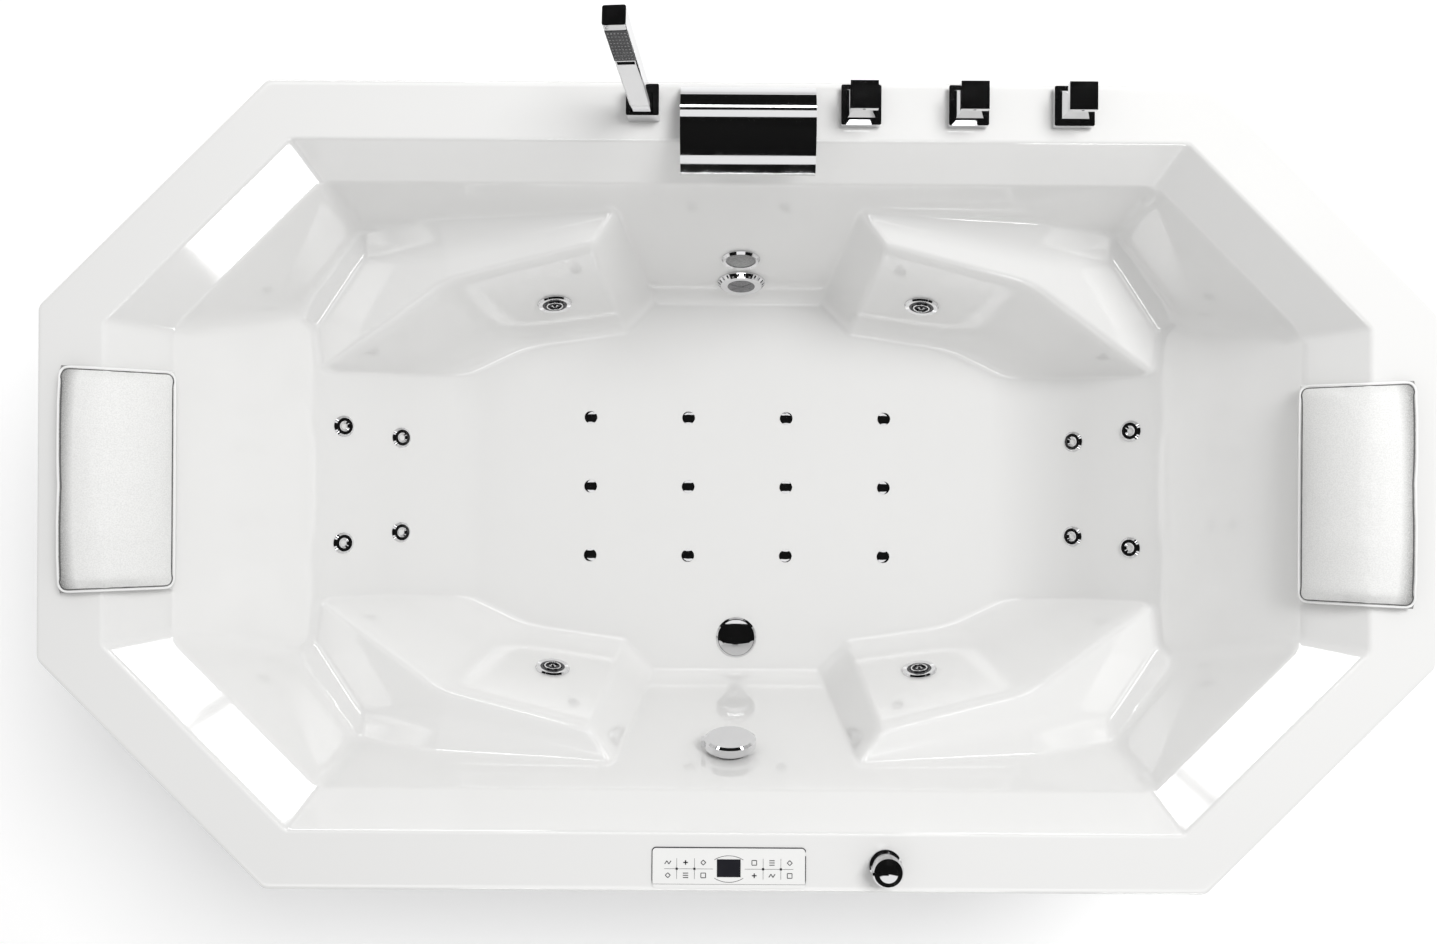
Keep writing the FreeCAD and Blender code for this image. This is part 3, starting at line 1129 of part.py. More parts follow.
def pump_motor():
    """Finned motor with a fan cowl, a terminal box and a saddle foot."""
    end = Vector(VOLUTE_X - VOLUTE_LENGTH, PUMP_Y, PUMP_Z)
    start = end - ALONG_X * MOTOR_LENGTH
    body = between(start, end, MOTOR_RADIUS)
    pitch = MOTOR_LENGTH / (MOTOR_FINS + 4)
    grooves = []
    for k in range(MOTOR_FINS):
        groove = ring(MOTOR_RADIUS + 1, MOTOR_RADIUS - MOTOR_FIN_DEPTH, pitch / 2)
        grooves.append(set_on(groove, end - ALONG_X * (pitch * (k + 1.5)), ALONG_X))
    foot_height = PUMP_AXIS_HEIGHT - MOTOR_RADIUS * 0.8
    foot = centred_box(MOTOR_LENGTH * 0.5, MOTOR_RADIUS * 1.5, foot_height,
                       (start.x + end.x) / 2, PUMP_Y, SHELF_TOP)
    terminal = centred_box(70, 60, 34, end.x - 50, PUMP_Y, PUMP_Z + MOTOR_RADIUS - 12)
    return body.cut(grooves).fuse([foot, terminal]).removeSplitter()


def pump_volute():
    """Wet end with an inlet on its axis and an outlet on top."""
    back = Vector(VOLUTE_X - VOLUTE_LENGTH, PUMP_Y, PUMP_Z)
    front = Vector(VOLUTE_X, PUMP_Y, PUMP_Z)
    drum = between(back, front, VOLUTE_RADIUS)
    inlet = between(front - ALONG_X, front + ALONG_X * PORT_LENGTH, PORT_RADIUS)
    outlet_base = Vector(VOLUTE_X - VOLUTE_LENGTH / 2, MAIN_PIPE_Y, PUMP_Z)
    outlet_top = Vector(outlet_base.x, MAIN_PIPE_Y, MAIN_PIPE_HEIGHT)
    outlet = between(outlet_base, outlet_top, PIPE_RADIUS + 4)
    return fused([drum, inlet, outlet]).cut(main_pipe_line())


def suction_pipe():
    """Pipe from the suction fitting to the pump's inlet."""
    start = SUCTION_SPOT + SIDE_WALL[1] * (WALL + SUCTION_BODY_LENGTH * 0.4)
    turn = Vector(start.x, PUMP_Y, PUMP_Z)
    end = Vector(VOLUTE_X + PORT_LENGTH, PUMP_Y, PUMP_Z)
    pipe = bent_bar([start, turn, end], SUCTION_PIPE_RADIUS, SUCTION_PIPE_RADIUS + 3)
    return pipe.cut(on_wall(suction_body(), SUCTION_SPOT, SIDE_WALL))


def main_route():
    """Corners of the pressure pipe, from the front right jet round the back to the front left."""
    quarter = [
        Vector(MAIN_PIPE_BEND_X, MAIN_PIPE_Y, MAIN_PIPE_HEIGHT),
        Vector(MAIN_PIPE_END_X, MAIN_PIPE_BEND_Y, MAIN_PIPE_HEIGHT),
    ]
    right = [Vector(p.x, -p.y, p.z) for p in quarter] + quarter[::-1]
    left = [Vector(-p.x, p.y, p.z) for p in reversed(right)]
    first = Vector(FEED_CORNER.x - 2 * FEED_RADIUS, -MAIN_PIPE_Y, MAIN_PIPE_HEIGHT)
    last = Vector(-first.x, first.y, first.z)
    return [first] + right + left + [last]


def main_pipe_line():
    """The long run of the pressure pipe behind the taps, without its ends."""
    return between(Vector(-MAIN_PIPE_BEND_X, MAIN_PIPE_Y, MAIN_PIPE_HEIGHT),
                   Vector(MAIN_PIPE_BEND_X, MAIN_PIPE_Y, MAIN_PIPE_HEIGHT), PIPE_RADIUS)


def main_pipes():
    """Straight lengths of the pressure pipe, which end at the elbows."""
    route = main_route()
    pipes = []
    last = len(route) - 2
    for k, (a, b) in enumerate(zip(route, route[1:])):
        along = (b - a).normalize()
        start = a if k == 0 else a + along * ELBOW_LENGTH
        end = b if k == last else b - along * ELBOW_LENGTH
        pipes.append(between(start, end, PIPE_RADIUS))
    return pipes


def elbow(before, corner, after):
    arms = [between(corner, corner + (p - corner).normalize() * ELBOW_LENGTH, ELBOW_RADIUS)
            for p in (before, after)]
    return fused(arms + [Part.makeSphere(ELBOW_RADIUS, corner)])


def main_elbows():
    route = main_route()
    return [elbow(*three) for three in zip(route, route[1:], route[2:])]


def overflow_pipe():
    """Hose from the overflow housing down to the waste below the floor."""
    middle = OVERFLOW_SPOT + FRONT_WALL[1] * (WALL + OVERFLOW_BODY_LENGTH / 2)
    low = SHELL_BOTTOM - OVERFLOW_PIPE_RADIUS - WALL
    hose = bent_bar([middle, Vector(middle.x, middle.y, low), Vector(0, DRAIN_Y, low)],
                    OVERFLOW_PIPE_RADIUS, 1.6 * OVERFLOW_PIPE_RADIUS)
    housing = disc(OVERFLOW_BODY_RADIUS, OVERFLOW_BODY_LENGTH, -WALL - OVERFLOW_BODY_LENGTH)
    waste = set_on(disc(WASTE_BODY_RADIUS, WASTE_BODY_HEIGHT, -WASTE_BODY_HEIGHT),
                   Vector(0, DRAIN_Y, SHELL_BOTTOM), UP)
    return hose.cut([on_wall(housing, OVERFLOW_SPOT, FRONT_WALL), waste])


def plug_cable():
    """Cable that carries the knob's turn to the plug."""
    middle = OVERFLOW_SPOT + FRONT_WALL[1] * (WALL + OVERFLOW_BODY_LENGTH / 2)
    side = middle + ALONG_X * (OVERFLOW_PIPE_RADIUS + 2 * PLUG_CABLE_RADIUS)
    low = SHELL_BOTTOM - WASTE_BODY_HEIGHT + 3 * PLUG_CABLE_RADIUS
    cable = bent_bar([side, Vector(side.x, side.y, low), Vector(0, DRAIN_Y, low)],
                     PLUG_CABLE_RADIUS, 6 * PLUG_CABLE_RADIUS)
    housing = disc(OVERFLOW_BODY_RADIUS, OVERFLOW_BODY_LENGTH, -WALL - OVERFLOW_BODY_LENGTH)
    waste = disc(WASTE_BODY_RADIUS, WASTE_BODY_HEIGHT, -WASTE_BODY_HEIGHT)
    waste = set_on(waste, Vector(0, DRAIN_Y, SHELL_BOTTOM), UP)
    return cable.cut([on_wall(housing, OVERFLOW_SPOT, FRONT_WALL), waste])


# ---- Air system -----------------------------------------------------------------------------
def air_jet():
    cap = domed(AIR_JET_RADIUS, 1, AIR_JET_HEIGHT)
    neck = disc(AIR_JET_NECK, WALL + 1, -WALL)
    mouth = disc(AIR_JET_NECK * 0.4, AIR_JET_HEIGHT, AIR_JET_HEIGHT - 2)
    return cap.fuse(neck).cut(mouth).removeSplitter()


def air_manifold():
    """The header, the pipes in rows under the floor, and a tail up to each air jet."""
    rows = sorted({p.y for p in AIR_JET_SPOTS})
    row_end = max(p.x for p in AIR_JET_SPOTS) + 2 * AIR_ROW_RADIUS
    reach = rows[-1] + 2 * AIR_ROW_RADIUS
    header = between(Vector(AIR_HEADER_X, -reach, AIR_ROW_HEIGHT),
                     Vector(AIR_HEADER_X, reach, AIR_ROW_HEIGHT), AIR_HEADER_RADIUS)
    row_pipes = [
        between(Vector(AIR_HEADER_X, y, AIR_ROW_HEIGHT), Vector(row_end, y, AIR_ROW_HEIGHT),
                AIR_ROW_RADIUS).cut(header)
        for y in rows
    ]
    row_pipes = [max(pipe.Solids, key=lambda solid: solid.Volume) for pipe in row_pipes]
    tails = [
        between(Vector(p.x, p.y, AIR_ROW_HEIGHT), Vector(p.x, p.y, SHELL_BOTTOM),
                AIR_TAIL_RADIUS).cut(row_pipes)
        for p in AIR_JET_SPOTS
    ]
    return [header] + row_pipes + tails


def blower():
    """Upright blower with a domed motor cap and a side outlet."""
    drum = disc(BLOWER_RADIUS, BLOWER_HEIGHT * 0.6)
    neck = disc(BLOWER_RADIUS * 0.72, BLOWER_HEIGHT * 0.7)
    cap = domed(BLOWER_RADIUS * 0.8, BLOWER_HEIGHT * 0.28, BLOWER_HEIGHT * 0.35)
    cap.translate(UP * (BLOWER_HEIGHT * 0.65))
    port = Part.makeCylinder(AIR_HOSE_RADIUS + 4, BLOWER_RADIUS + BLOWER_PORT_LENGTH,
                             Vector(0, 0, BLOWER_PORT_HEIGHT), ALONG_X)
    return set_on(fused([drum, neck, cap, port]), Vector(BLOWER_X, BLOWER_Y, SHELF_TOP), UP)


def air_hose():
    """Hose from the blower, under the inner rail, to the header."""
    port = Vector(BLOWER_X + BLOWER_RADIUS + BLOWER_PORT_LENGTH, BLOWER_Y, SHELF_TOP + BLOWER_PORT_HEIGHT)
    route = [
        port,
        Vector(AIR_HEADER_X, BLOWER_Y, port.z),
        Vector(AIR_HEADER_X, BLOWER_Y, AIR_HOSE_HEIGHT),
        Vector(AIR_HEADER_X, AIR_HOSE_Y, AIR_HOSE_HEIGHT),
        Vector(AIR_HEADER_X, AIR_HOSE_Y, AIR_ROW_HEIGHT),
    ]
    hose = bent_bar(route, AIR_HOSE_RADIUS, 2 * AIR_HOSE_RADIUS)
    return hose.cut(air_manifold()[0])


def air_control_hose():
    """Hose from the air valve in the rim to the nearest jet body."""
    start = AIR_KNOB_SPOT - UP * (WALL + AIR_VALVE_LENGTH)
    jet = Vector(JET_SPOT.x, -JET_SPOT.y, JET_SPOT.z)
    outward = Vector(POD_FACE[1].x, -POD_FACE[1].y, POD_FACE[1].z)
    end = jet + outward * (WALL + JET_FLANGE_HEIGHT + JET_BODY_LENGTH / 2)
    level = MAIN_PIPE_HEIGHT + 2 * PIPE_RADIUS + 15
    route = [start, Vector(start.x, start.y, level), Vector(end.x, (start.y + end.y) / 2 + 20, level), end]
    hose = bent_bar(route, AIR_CONTROL_HOSE_RADIUS, 5 * AIR_CONTROL_HOSE_RADIUS)
    housing = disc(JET_BODY_RADIUS, JET_BODY_LENGTH, -WALL - JET_FLANGE_HEIGHT - JET_BODY_LENGTH)
    return hose.cut(set_on(housing, jet, outward * -1))


# ---- Pipes under the taps, control box and cable --------------------------------------------
VALVE_TOP = DECK_UNDERSIDE - NUT_HEIGHT


def elbow_block(x, height):
    return centred_box(ELBOW_BLOCK, ELBOW_BLOCK, height, x, TAP_Y, VALVE_TOP - height)


def mixer_pipes():
    """Pipes from valve to valve, to the spout and to the handset, all in line under the taps."""
    first, second, third = CONTROL_X
    half = VALVE_SIDE / 2
    middle = VALVE_TOP - VALVE_HEIGHT / 2
    spout_level = VALVE_TOP - SPOUT_ELBOW_HEIGHT / 2
    handset_level = VALVE_TOP - HOLDER_ELBOW_HEIGHT + MIXER_PIPE_RADIUS + 3
    runs = (
        (first + half, second - half, middle),
        (second + half, third - half, middle),
        (SPOUT_X + ELBOW_BLOCK / 2, first - half, spout_level),
        (HOLDER_X + ELBOW_BLOCK / 2, first - half, handset_level),
    )
    return [between(Vector(a, TAP_Y, z), Vector(b, TAP_Y, z), MIXER_PIPE_RADIUS) for a, b, z in runs]


def control_box():
    box = rounded_box(BOX_LENGTH, BOX_WIDTH, BOX_HEIGHT, 8, BOX_X, BOX_Y, SHELF_TOP)
    seam = centred_box(REACH, REACH, 2, bottom=SHELF_TOP + BOX_HEIGHT * 0.7)
    inner = rounded_box(BOX_LENGTH - 3, BOX_WIDTH - 3, BOX_HEIGHT, 7, BOX_X, BOX_Y, SHELF_TOP)
    return box.cut(seam.cut(inner))


def keypad_cable():
    """Cable from the keypad to the control box."""
    start = KEYPAD_SPOT + ALONG_X * (KEYPAD_LENGTH / 4) - UP * KEYPAD_BOX_HEIGHT
    end = Vector(BOX_X, BOX_Y - BOX_WIDTH * 0.42, SHELF_TOP + BOX_HEIGHT)
    drop = start.z - end.z
    high, middle, low = [start.z - share * drop for share in CABLE_FALLS]
    route = [
        start,
        Vector(start.x, start.y, high),
        Vector((start.x + BOX_X) / 2, (start.y + end.y) / 2, middle),
        Vector(BOX_X, end.y, low),
        end,
    ]
    return bent_bar(route, CABLE_RADIUS, 12 * CABLE_RADIUS)


# ---- Writing the parts ----------------------------------------------------------------------
os.makedirs("parts", exist_ok=True)

write_node("tub_shell", tub_shell())
write_node("base_board", base_board())
write_node("frame_rails", *side_rails(), *end_rails(), *corner_rails())
write_node("floor_beams", *cross_members(), *inner_rails())
write_node("posts", *posts())
write_node("foot_pads", *under_posts(foot_pad()))
write_node("foot_studs", *under_posts(foot_stud()), *under_posts(foot_nut()))
write_node("equipment_shelves", *shelves())

write_node("jet_flanges", *four_ways(on_wall(jet_flange(), JET_SPOT, POD_FACE)))
for number, nozzle in enumerate(four_ways(on_wall(jet_nozzle(), JET_SPOT, POD_FACE)), 1):
    write_node("jet_nozzle_" + str(number), nozzle)
write_node("jet_bodies", *four_ways(on_wall(jet_body(), JET_SPOT, POD_FACE)))
write_node("jet_feeds", *four_ways(jet_feed()))
back_jets = []
back_jet_hoses = []
for back_spot in BACK_SPOTS:
    back_jets += four_ways(on_wall(back_jet(), back_spot, LOWER_BACK))
    back_jet_hoses += four_ways(on_wall(back_jet_body(), back_spot, LOWER_BACK))
    back_jet_hoses += four_ways(back_feed(back_spot))
write_node("back_jets", *back_jets)
write_node("back_jet_hoses", *back_jet_hoses)
write_node("suction_cover", on_wall(suction_cover(), SUCTION_SPOT, SIDE_WALL))
write_node("lamp_ring", on_wall(lamp_ring(), LAMP_SPOT, SIDE_WALL))
write_node("lamp_lens", on_wall(lamp_lens(), LAMP_SPOT, SIDE_WALL))
write_node(
    "wall_fitting_bodies",
    on_wall(suction_body(), SUCTION_SPOT, SIDE_WALL), on_wall(lamp_body(), LAMP_SPOT, SIDE_WALL),
)

write_node("overflow_knob", on_wall(overflow_knob(), OVERFLOW_SPOT, FRONT_WALL))
write_node("overflow_body", on_wall(overflow_body(), OVERFLOW_SPOT, FRONT_WALL))
write_node("overflow_pipe", overflow_pipe())
write_node("plug_cable", plug_cable())
write_node("drain_flange", set_on(drain_flange(), DRAIN_SPOT, UP))
write_node("drain_plug", set_on(drain_plug(), DRAIN_SPOT, UP))
write_node("waste_body", waste_body())

write_node("control_bases", *[set_on(control_base(), p, UP) for p in CONTROL_SPOTS])
for name, place in zip(("diverter_handle", "hot_handle", "cold_handle"), CONTROL_SPOTS):
    write_node(name, set_on(control_handle(), place, UP))
write_node("valve_bodies", *[
    set_on(valve_body(with_inlet), p, UP)
    for with_inlet, p in zip((False, True, True), CONTROL_SPOTS)
])
write_node("shower_holder", shower_holder())
write_node("hand_shower", hand_shower())
write_node("spray_plate", spray_plate())
write_node("waterfall_spout", waterfall_spout())
write_node(
    "deck_nuts",
    *[set_on(deck_nut(NUT_RADIUS, TAIL_RADIUS), p, UP) for p in CONTROL_SPOTS + [SPOUT_TAIL_SPOT]],
    set_on(deck_nut(NUT_RADIUS, HOLDER_TAIL), HOLDER_SPOT, UP),
)
write_node(
    "mixer_pipes", *mixer_pipes(),
    elbow_block(SPOUT_X, SPOUT_ELBOW_HEIGHT), elbow_block(HOLDER_X, HOLDER_ELBOW_HEIGHT),
)

write_node("keypad_plate", set_on(keypad_plate(), KEYPAD_SPOT, UP))
write_node("keypad_display", set_on(keypad_display(), KEYPAD_SPOT, UP))
write_node("keypad_housing", set_on(keypad_housing(), KEYPAD_SPOT, UP))
write_node("air_collar", set_on(air_collar(), AIR_KNOB_SPOT, UP))
write_node("air_knob", set_on(air_knob(), AIR_KNOB_SPOT, UP))
write_node("air_valve", set_on(air_valve(), AIR_KNOB_SPOT, UP))

write_node("pillow_left", pillow(-1))
write_node("pillow_right", pillow(1))
write_node("pillow_pegs_left", *pillow_pegs(-1))
write_node("pillow_pegs_right", *pillow_pegs(1))

write_node("pump_motor", pump_motor())
write_node("pump_volute", pump_volute())
write_node("suction_pipe", suction_pipe())
write_node("pressure_pipes", *main_pipes(), *main_elbows())
write_node("air_jets", *[set_on(air_jet(), p, UP) for p in AIR_JET_SPOTS])
write_node("air_manifold", *air_manifold())
write_node("blower", blower())
write_node("air_hose", air_hose())
write_node("air_control_hose", air_control_hose())
write_node("control_box", control_box())
write_node("keypad_cable", keypad_cable())
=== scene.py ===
import json
import math

import bpy
import numpy as np
from mathutils import Matrix, Vector
from mathutils.bvhtree import BVHTree


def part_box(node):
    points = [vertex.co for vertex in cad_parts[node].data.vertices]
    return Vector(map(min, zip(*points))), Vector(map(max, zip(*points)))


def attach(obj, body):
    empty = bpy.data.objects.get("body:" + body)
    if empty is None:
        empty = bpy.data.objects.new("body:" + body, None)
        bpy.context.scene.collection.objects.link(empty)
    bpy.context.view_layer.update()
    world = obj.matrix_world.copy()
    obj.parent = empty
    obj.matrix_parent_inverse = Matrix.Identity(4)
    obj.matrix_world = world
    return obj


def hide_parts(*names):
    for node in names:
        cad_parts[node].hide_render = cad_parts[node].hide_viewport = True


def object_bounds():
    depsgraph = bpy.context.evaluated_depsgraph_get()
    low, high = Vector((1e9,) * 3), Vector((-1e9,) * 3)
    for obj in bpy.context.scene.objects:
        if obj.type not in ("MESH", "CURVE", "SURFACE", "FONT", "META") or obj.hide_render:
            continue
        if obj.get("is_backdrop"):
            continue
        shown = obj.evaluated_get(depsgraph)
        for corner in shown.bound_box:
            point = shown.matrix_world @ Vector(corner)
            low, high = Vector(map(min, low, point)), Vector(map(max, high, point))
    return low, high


# A drop-in bathtub with water and air jets for two bathers, seen from straight above.
# Metres. +X runs along the tub and +Y towards the taps. Depths are measured down from the rim.

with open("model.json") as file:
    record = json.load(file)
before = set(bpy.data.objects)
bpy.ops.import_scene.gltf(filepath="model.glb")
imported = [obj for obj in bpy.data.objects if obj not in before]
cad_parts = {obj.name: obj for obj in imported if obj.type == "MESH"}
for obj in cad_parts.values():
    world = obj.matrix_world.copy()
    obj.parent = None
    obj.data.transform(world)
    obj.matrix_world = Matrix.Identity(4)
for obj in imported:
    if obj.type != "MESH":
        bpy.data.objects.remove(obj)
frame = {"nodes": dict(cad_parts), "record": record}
cad_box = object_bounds()
nodes = frame["nodes"]

# ---- The shell's walls, as in the solid: distance from the middle, depth there, slope --------
SHELL_LOW, SHELL_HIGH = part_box("tub_shell")
RIM_Z = SHELL_HIGH.z
HALF_LENGTH = SHELL_HIGH.x
HALF_WIDTH = SHELL_HIGH.y
WALL = 0.008
FLOOR_DEPTH = RIM_Z - SHELL_LOW.z - WALL
LIP_HEIGHT = 0.038
CORNER_CUT = 0.310
DIAGONAL = math.sqrt(0.5)
CORNER_DISTANCE = (HALF_LENGTH + HALF_WIDTH - CORNER_CUT) * DIAGONAL
SIDE_TOP = HALF_WIDTH - 0.080
END_TOP = HALF_LENGTH - 0.090
CORNER_TOP = CORNER_DISTANCE - 0.0775
BAND_DEPTH = 0.061
SIDE_BAND_SLOPE = 55.0
CORNER_BAND_SLOPE = 53.0
END_BAND_SLOPE = 46.0
SIDE_SLOPE = 75.4
CORNER_SLOPE = 78.0
UPPER_BACK_SLOPE = 60.0
LOWER_BACK_SLOPE = 45.0
BACK_KNEE_DEPTH = 0.248
PILLOW_ON_RIM = 0.052

# ---- The armrest pods ------------------------------------------------------------------------
BAY_HALF = 0.148
POD_STEP = 0.022
POD_FACE_TURN = 8.2
POD_FACE_SLOPE = 73.5
POD_FRONT_SLOPE = 75.5
FOOTWELL_HALF = 0.190
POD_BACK_TURN = 64.7
POD_BACK_SLOPE = 69.2
ARM_TIP = (0.224, HALF_WIDTH - 0.188, 0.153)
ARM_KNEE = (0.445, HALF_WIDTH - 0.232, 0.200)
ARM_FRONT_FALL = 0.184
ARM_BACK_FALL = 0.25
ARM_CROSS_FALL = 0.144
COVE_KNEE_X = 0.450
COVE_KNEE_DEPTH = 0.162
COVE_FRONT_FALL = 0.079
COVE_BACK_FALL = 0.24
COVE_CROSS_FALL = 0.78
SHOULDER_DEPTH = 0.200
SHOULDER_FALL = 0.183

# ---- How softly the walls of the shell meet: reach of each blend, in depth --------------------
RIM_BLEND = 0.004
BAND_CORNER_BLEND = 0.006
CREASE_BLEND = 0.004
WALL_CORNER_BLEND = 0.045
BACK_KNEE_BLEND = 0.030
FLOOR_BLEND = 0.070
ARM_BLEND = 0.026
POD_FRONT_BLEND = 0.016
POD_KNEE_BLEND = 0.030
COVE_BLEND = 0.008

# ---- Mesh of the shell -----------------------------------------------------------------------
OUTER_CORNER_RADIUS = 0.018
RIM_EDGE_RADIUS = 0.005
INNER_CORNER_RADIUS = 0.008
ARC_POINTS = 9
LONG_POINTS = 261
CORNER_POINTS = 90
END_POINTS = 99
FINE_STEP = 0.0022
COARSE_STEP = 0.009
FINE_TO = 0.225  # distance of the side ring where the mesh turns coarse
CENTRE_RING = 0.024
UNDERSIDE_SKIP = 3


def run(drop, slope):
    """Horizontal distance in which a wall of this slope falls by drop."""
    return drop / math.tan(math.radians(slope))


SIDE_CREASE = SIDE_TOP - run(BAND_DEPTH, SIDE_BAND_SLOPE)
CORNER_CREASE = CORNER_TOP - run(BAND_DEPTH, CORNER_BAND_SLOPE)
END_CREASE = END_TOP - run(BAND_DEPTH, END_BAND_SLOPE)
SIDE_FOOT = SIDE_CREASE - run(FLOOR_DEPTH - BAND_DEPTH, SIDE_SLOPE)
BACK_KNEE = END_CREASE - run(BACK_KNEE_DEPTH - BAND_DEPTH, UPPER_BACK_SLOPE)
BACK_FOOT = BACK_KNEE - run(FLOOR_DEPTH - BACK_KNEE_DEPTH, LOWER_BACK_SLOPE)


# ---- Depth of the shell under each point of the plan -----------------------------------------
def soft_min(a, b, reach):
    share = np.clip(0.5 + 0.5 * (b - a) / reach, 0, 1)
    return b * (1 - share) + a * share - reach * share * (1 - share)


def soft_max(a, b, reach):
    return -soft_min(-a, -b, reach)


def wall(x, y, bearing, distance, depth, slope):
    """Depth of a leaning wall over points of the plan."""
    turn = math.radians(bearing)
    out = x * math.cos(turn) + y * math.sin(turn) - distance
    return depth - out * math.tan(math.radians(slope))


def ledge(x, y, at, fall_x, fall_y):
    """Depth of a nearly level plane through the point at = (x, y, depth)."""
    return at[2] + (x - at[0]) * fall_x - (y - at[1]) * fall_y


def pod_depth(x, y):
    """Depth of the armrest pod of the +X +Y quarter."""
    front = wall(x, y, 45, (BAY_HALF + SIDE_FOOT) * DIAGONAL, FLOOR_DEPTH, POD_FRONT_SLOPE)
    bearing = 90 - POD_FACE_TURN
    face_distance = (SIDE_FOOT - POD_STEP) * math.sin(math.radians(bearing))
    face = wall(x, y, bearing, face_distance, FLOOR_DEPTH, POD_FACE_SLOPE)
    turn = math.radians(POD_BACK_TURN)
    back_distance = BACK_FOOT * math.cos(turn) + FOOTWELL_HALF * math.sin(turn)
    back = wall(x, y, POD_BACK_TURN, back_distance, FLOOR_DEPTH, POD_BACK_SLOPE)
    arm = np.maximum(
        ledge(x, y, ARM_TIP, ARM_FRONT_FALL, ARM_CROSS_FALL),
        ledge(x, y, ARM_KNEE, ARM_BACK_FALL, ARM_CROSS_FALL),
    )
    knee = (COVE_KNEE_X, SIDE_CREASE - run(COVE_KNEE_DEPTH - BAND_DEPTH, SIDE_SLOPE), COVE_KNEE_DEPTH)
    cove = np.maximum(
        ledge(x, y, knee, COVE_FRONT_FALL, COVE_CROSS_FALL),
        ledge(x, y, knee, COVE_BACK_FALL, COVE_CROSS_FALL),
    )
    corner_at = CORNER_CREASE - run(SHOULDER_DEPTH - BAND_DEPTH, CORNER_SLOPE)
    side_at = SIDE_CREASE - run(SHOULDER_DEPTH - BAND_DEPTH, SIDE_SLOPE)
    along = (x - y) * DIAGONAL - (corner_at / DIAGONAL - 2 * side_at) * DIAGONAL
    out = (x + y) * DIAGONAL - corner_at
    shoulder = SHOULDER_DEPTH + SHOULDER_FALL * along - out
    top = soft_min(soft_min(arm, cove, COVE_BLEND * 1.2), shoulder, COVE_BLEND)
    faces = soft_max(soft_min(face, back, POD_KNEE_BLEND), front, POD_FRONT_BLEND)
    return soft_max(faces, top, ARM_BLEND)


def shell_depth(x, y):
    x = np.abs(x)
    y = np.abs(y)
    band = soft_min(
        wall(x, y, 90, SIDE_TOP, 0, SIDE_BAND_SLOPE),
        wall(x, y, 45, CORNER_TOP, 0, CORNER_BAND_SLOPE), BAND_CORNER_BLEND,
    )
    band = soft_min(band, wall(x, y, 0, END_TOP, 0, END_BAND_SLOPE), BAND_CORNER_BLEND)
    low = soft_min(
        wall(x, y, 90, SIDE_CREASE, BAND_DEPTH, SIDE_SLOPE),
        wall(x, y, 45, CORNER_CREASE, BAND_DEPTH, CORNER_SLOPE), WALL_CORNER_BLEND,
    )
    back = soft_min(
        wall(x, y, 0, BACK_KNEE, BACK_KNEE_DEPTH, UPPER_BACK_SLOPE),
        wall(x, y, 0, BACK_FOOT, FLOOR_DEPTH, LOWER_BACK_SLOPE), BACK_KNEE_BLEND,
    )
    low = soft_min(low, back, WALL_CORNER_BLEND)
    bowl = soft_max(low, band, CREASE_BLEND)
    bowl = soft_min(bowl, pod_depth(x, y), COVE_BLEND)
    bowl = soft_min(bowl, FLOOR_DEPTH, FLOOR_BLEND)
    return soft_max(bowl, 0.0, RIM_BLEND)


def shell_normal(x, y):
    """Unit normals of the shell, which point up out of it."""
    step = 0.0005
    slope_x = (shell_depth(x + step, y) - shell_depth(x - step, y)) / (2 * step)
    slope_y = (shell_depth(x, y + step) - shell_depth(x, y - step)) / (2 * step)
    normal = np.stack([slope_x, slope_y, np.ones_like(slope_x)], axis=1)
    return normal / np.linalg.norm(normal, axis=1, keepdims=True)


# ---- Rings of points that follow the rim's eight sides ---------------------------------------
def ring(side, corner, end, radius):
    """Points round an octagon, from its three distances, with rounded corners."""
    quarter = [
        Vector((end, corner / DIAGONAL - end)),
        Vector((corner / DIAGONAL - side, side)),
    ]
    corners = quarter + [Vector((-p.x, p.y)) for p in reversed(quarter)]
    corners += [Vector((-p.x, -p.y)) for p in corners]
    counts = [CORNER_POINTS, LONG_POINTS, CORNER_POINTS, END_POINTS] * 2
    tangent = radius * math.tan(math.radians(22.5))
    points = []
    for k, here in enumerate(corners):
        before = corners[k - 1]
        after = corners[(k + 1) % 8]
        inward = (before - here).normalized()
        outward = (after - here).normalized()
        centre = here + (inward + outward).normalized() * (radius / math.cos(math.radians(22.5)))
        start = (here + inward * tangent) - centre
        for j in range(ARC_POINTS):
            turn = math.radians(45) * j / (ARC_POINTS - 1)
            points.append(centre + Matrix.Rotation(turn, 2) @ start)
        first = here + outward * tangent
        last = after - outward * tangent
        count = counts[k]
        points += [first.lerp(last, (j + 1) / (count + 1)) for j in range(count)]
    return np.array(points)


def blend_ring(share, outer, inner):
    """Distances of a ring at a share of the way from outer to inner."""
    return [a + (b - a) * share for a, b in zip(outer, inner)]


def strip(first, second, count):
    """Faces between two rings of the same count, given by their first vertices."""
    return [
        (first + j, first + (j + 1) % count, second + (j + 1) % count, second + j)
        for j in range(count)
    ]


def thinning_strip(first, second, count):
    """Faces from a ring of count points in to a ring of a third as many."""
    third = count // 3
    faces = []
    for j in range(third):
        a = first + 3 * j
        b = first + (3 * j + 3) % count
        c = second + j
        d = second + (j + 1) % third
        faces += [(a, a + 1, c), (a + 1, a + 2, d, c), (a + 2, b, d)]
    return faces


def add_ring(points, rows, ring_points, heights):
    rows.append((len(points), len(ring_points)))
    for (x, y), z in zip(ring_points, heights):
        points.append((x, y, z))


def mesh_object(name, points, faces, smooth=True):
    mesh = bpy.data.meshes.new(name)
    mesh.from_pydata(points, [], faces)
    mesh.update()
    piece = bpy.data.objects.new(name, mesh)
    bpy.context.scene.collection.objects.link(piece)
    if smooth:
        mesh.shade_smooth()
    return piece


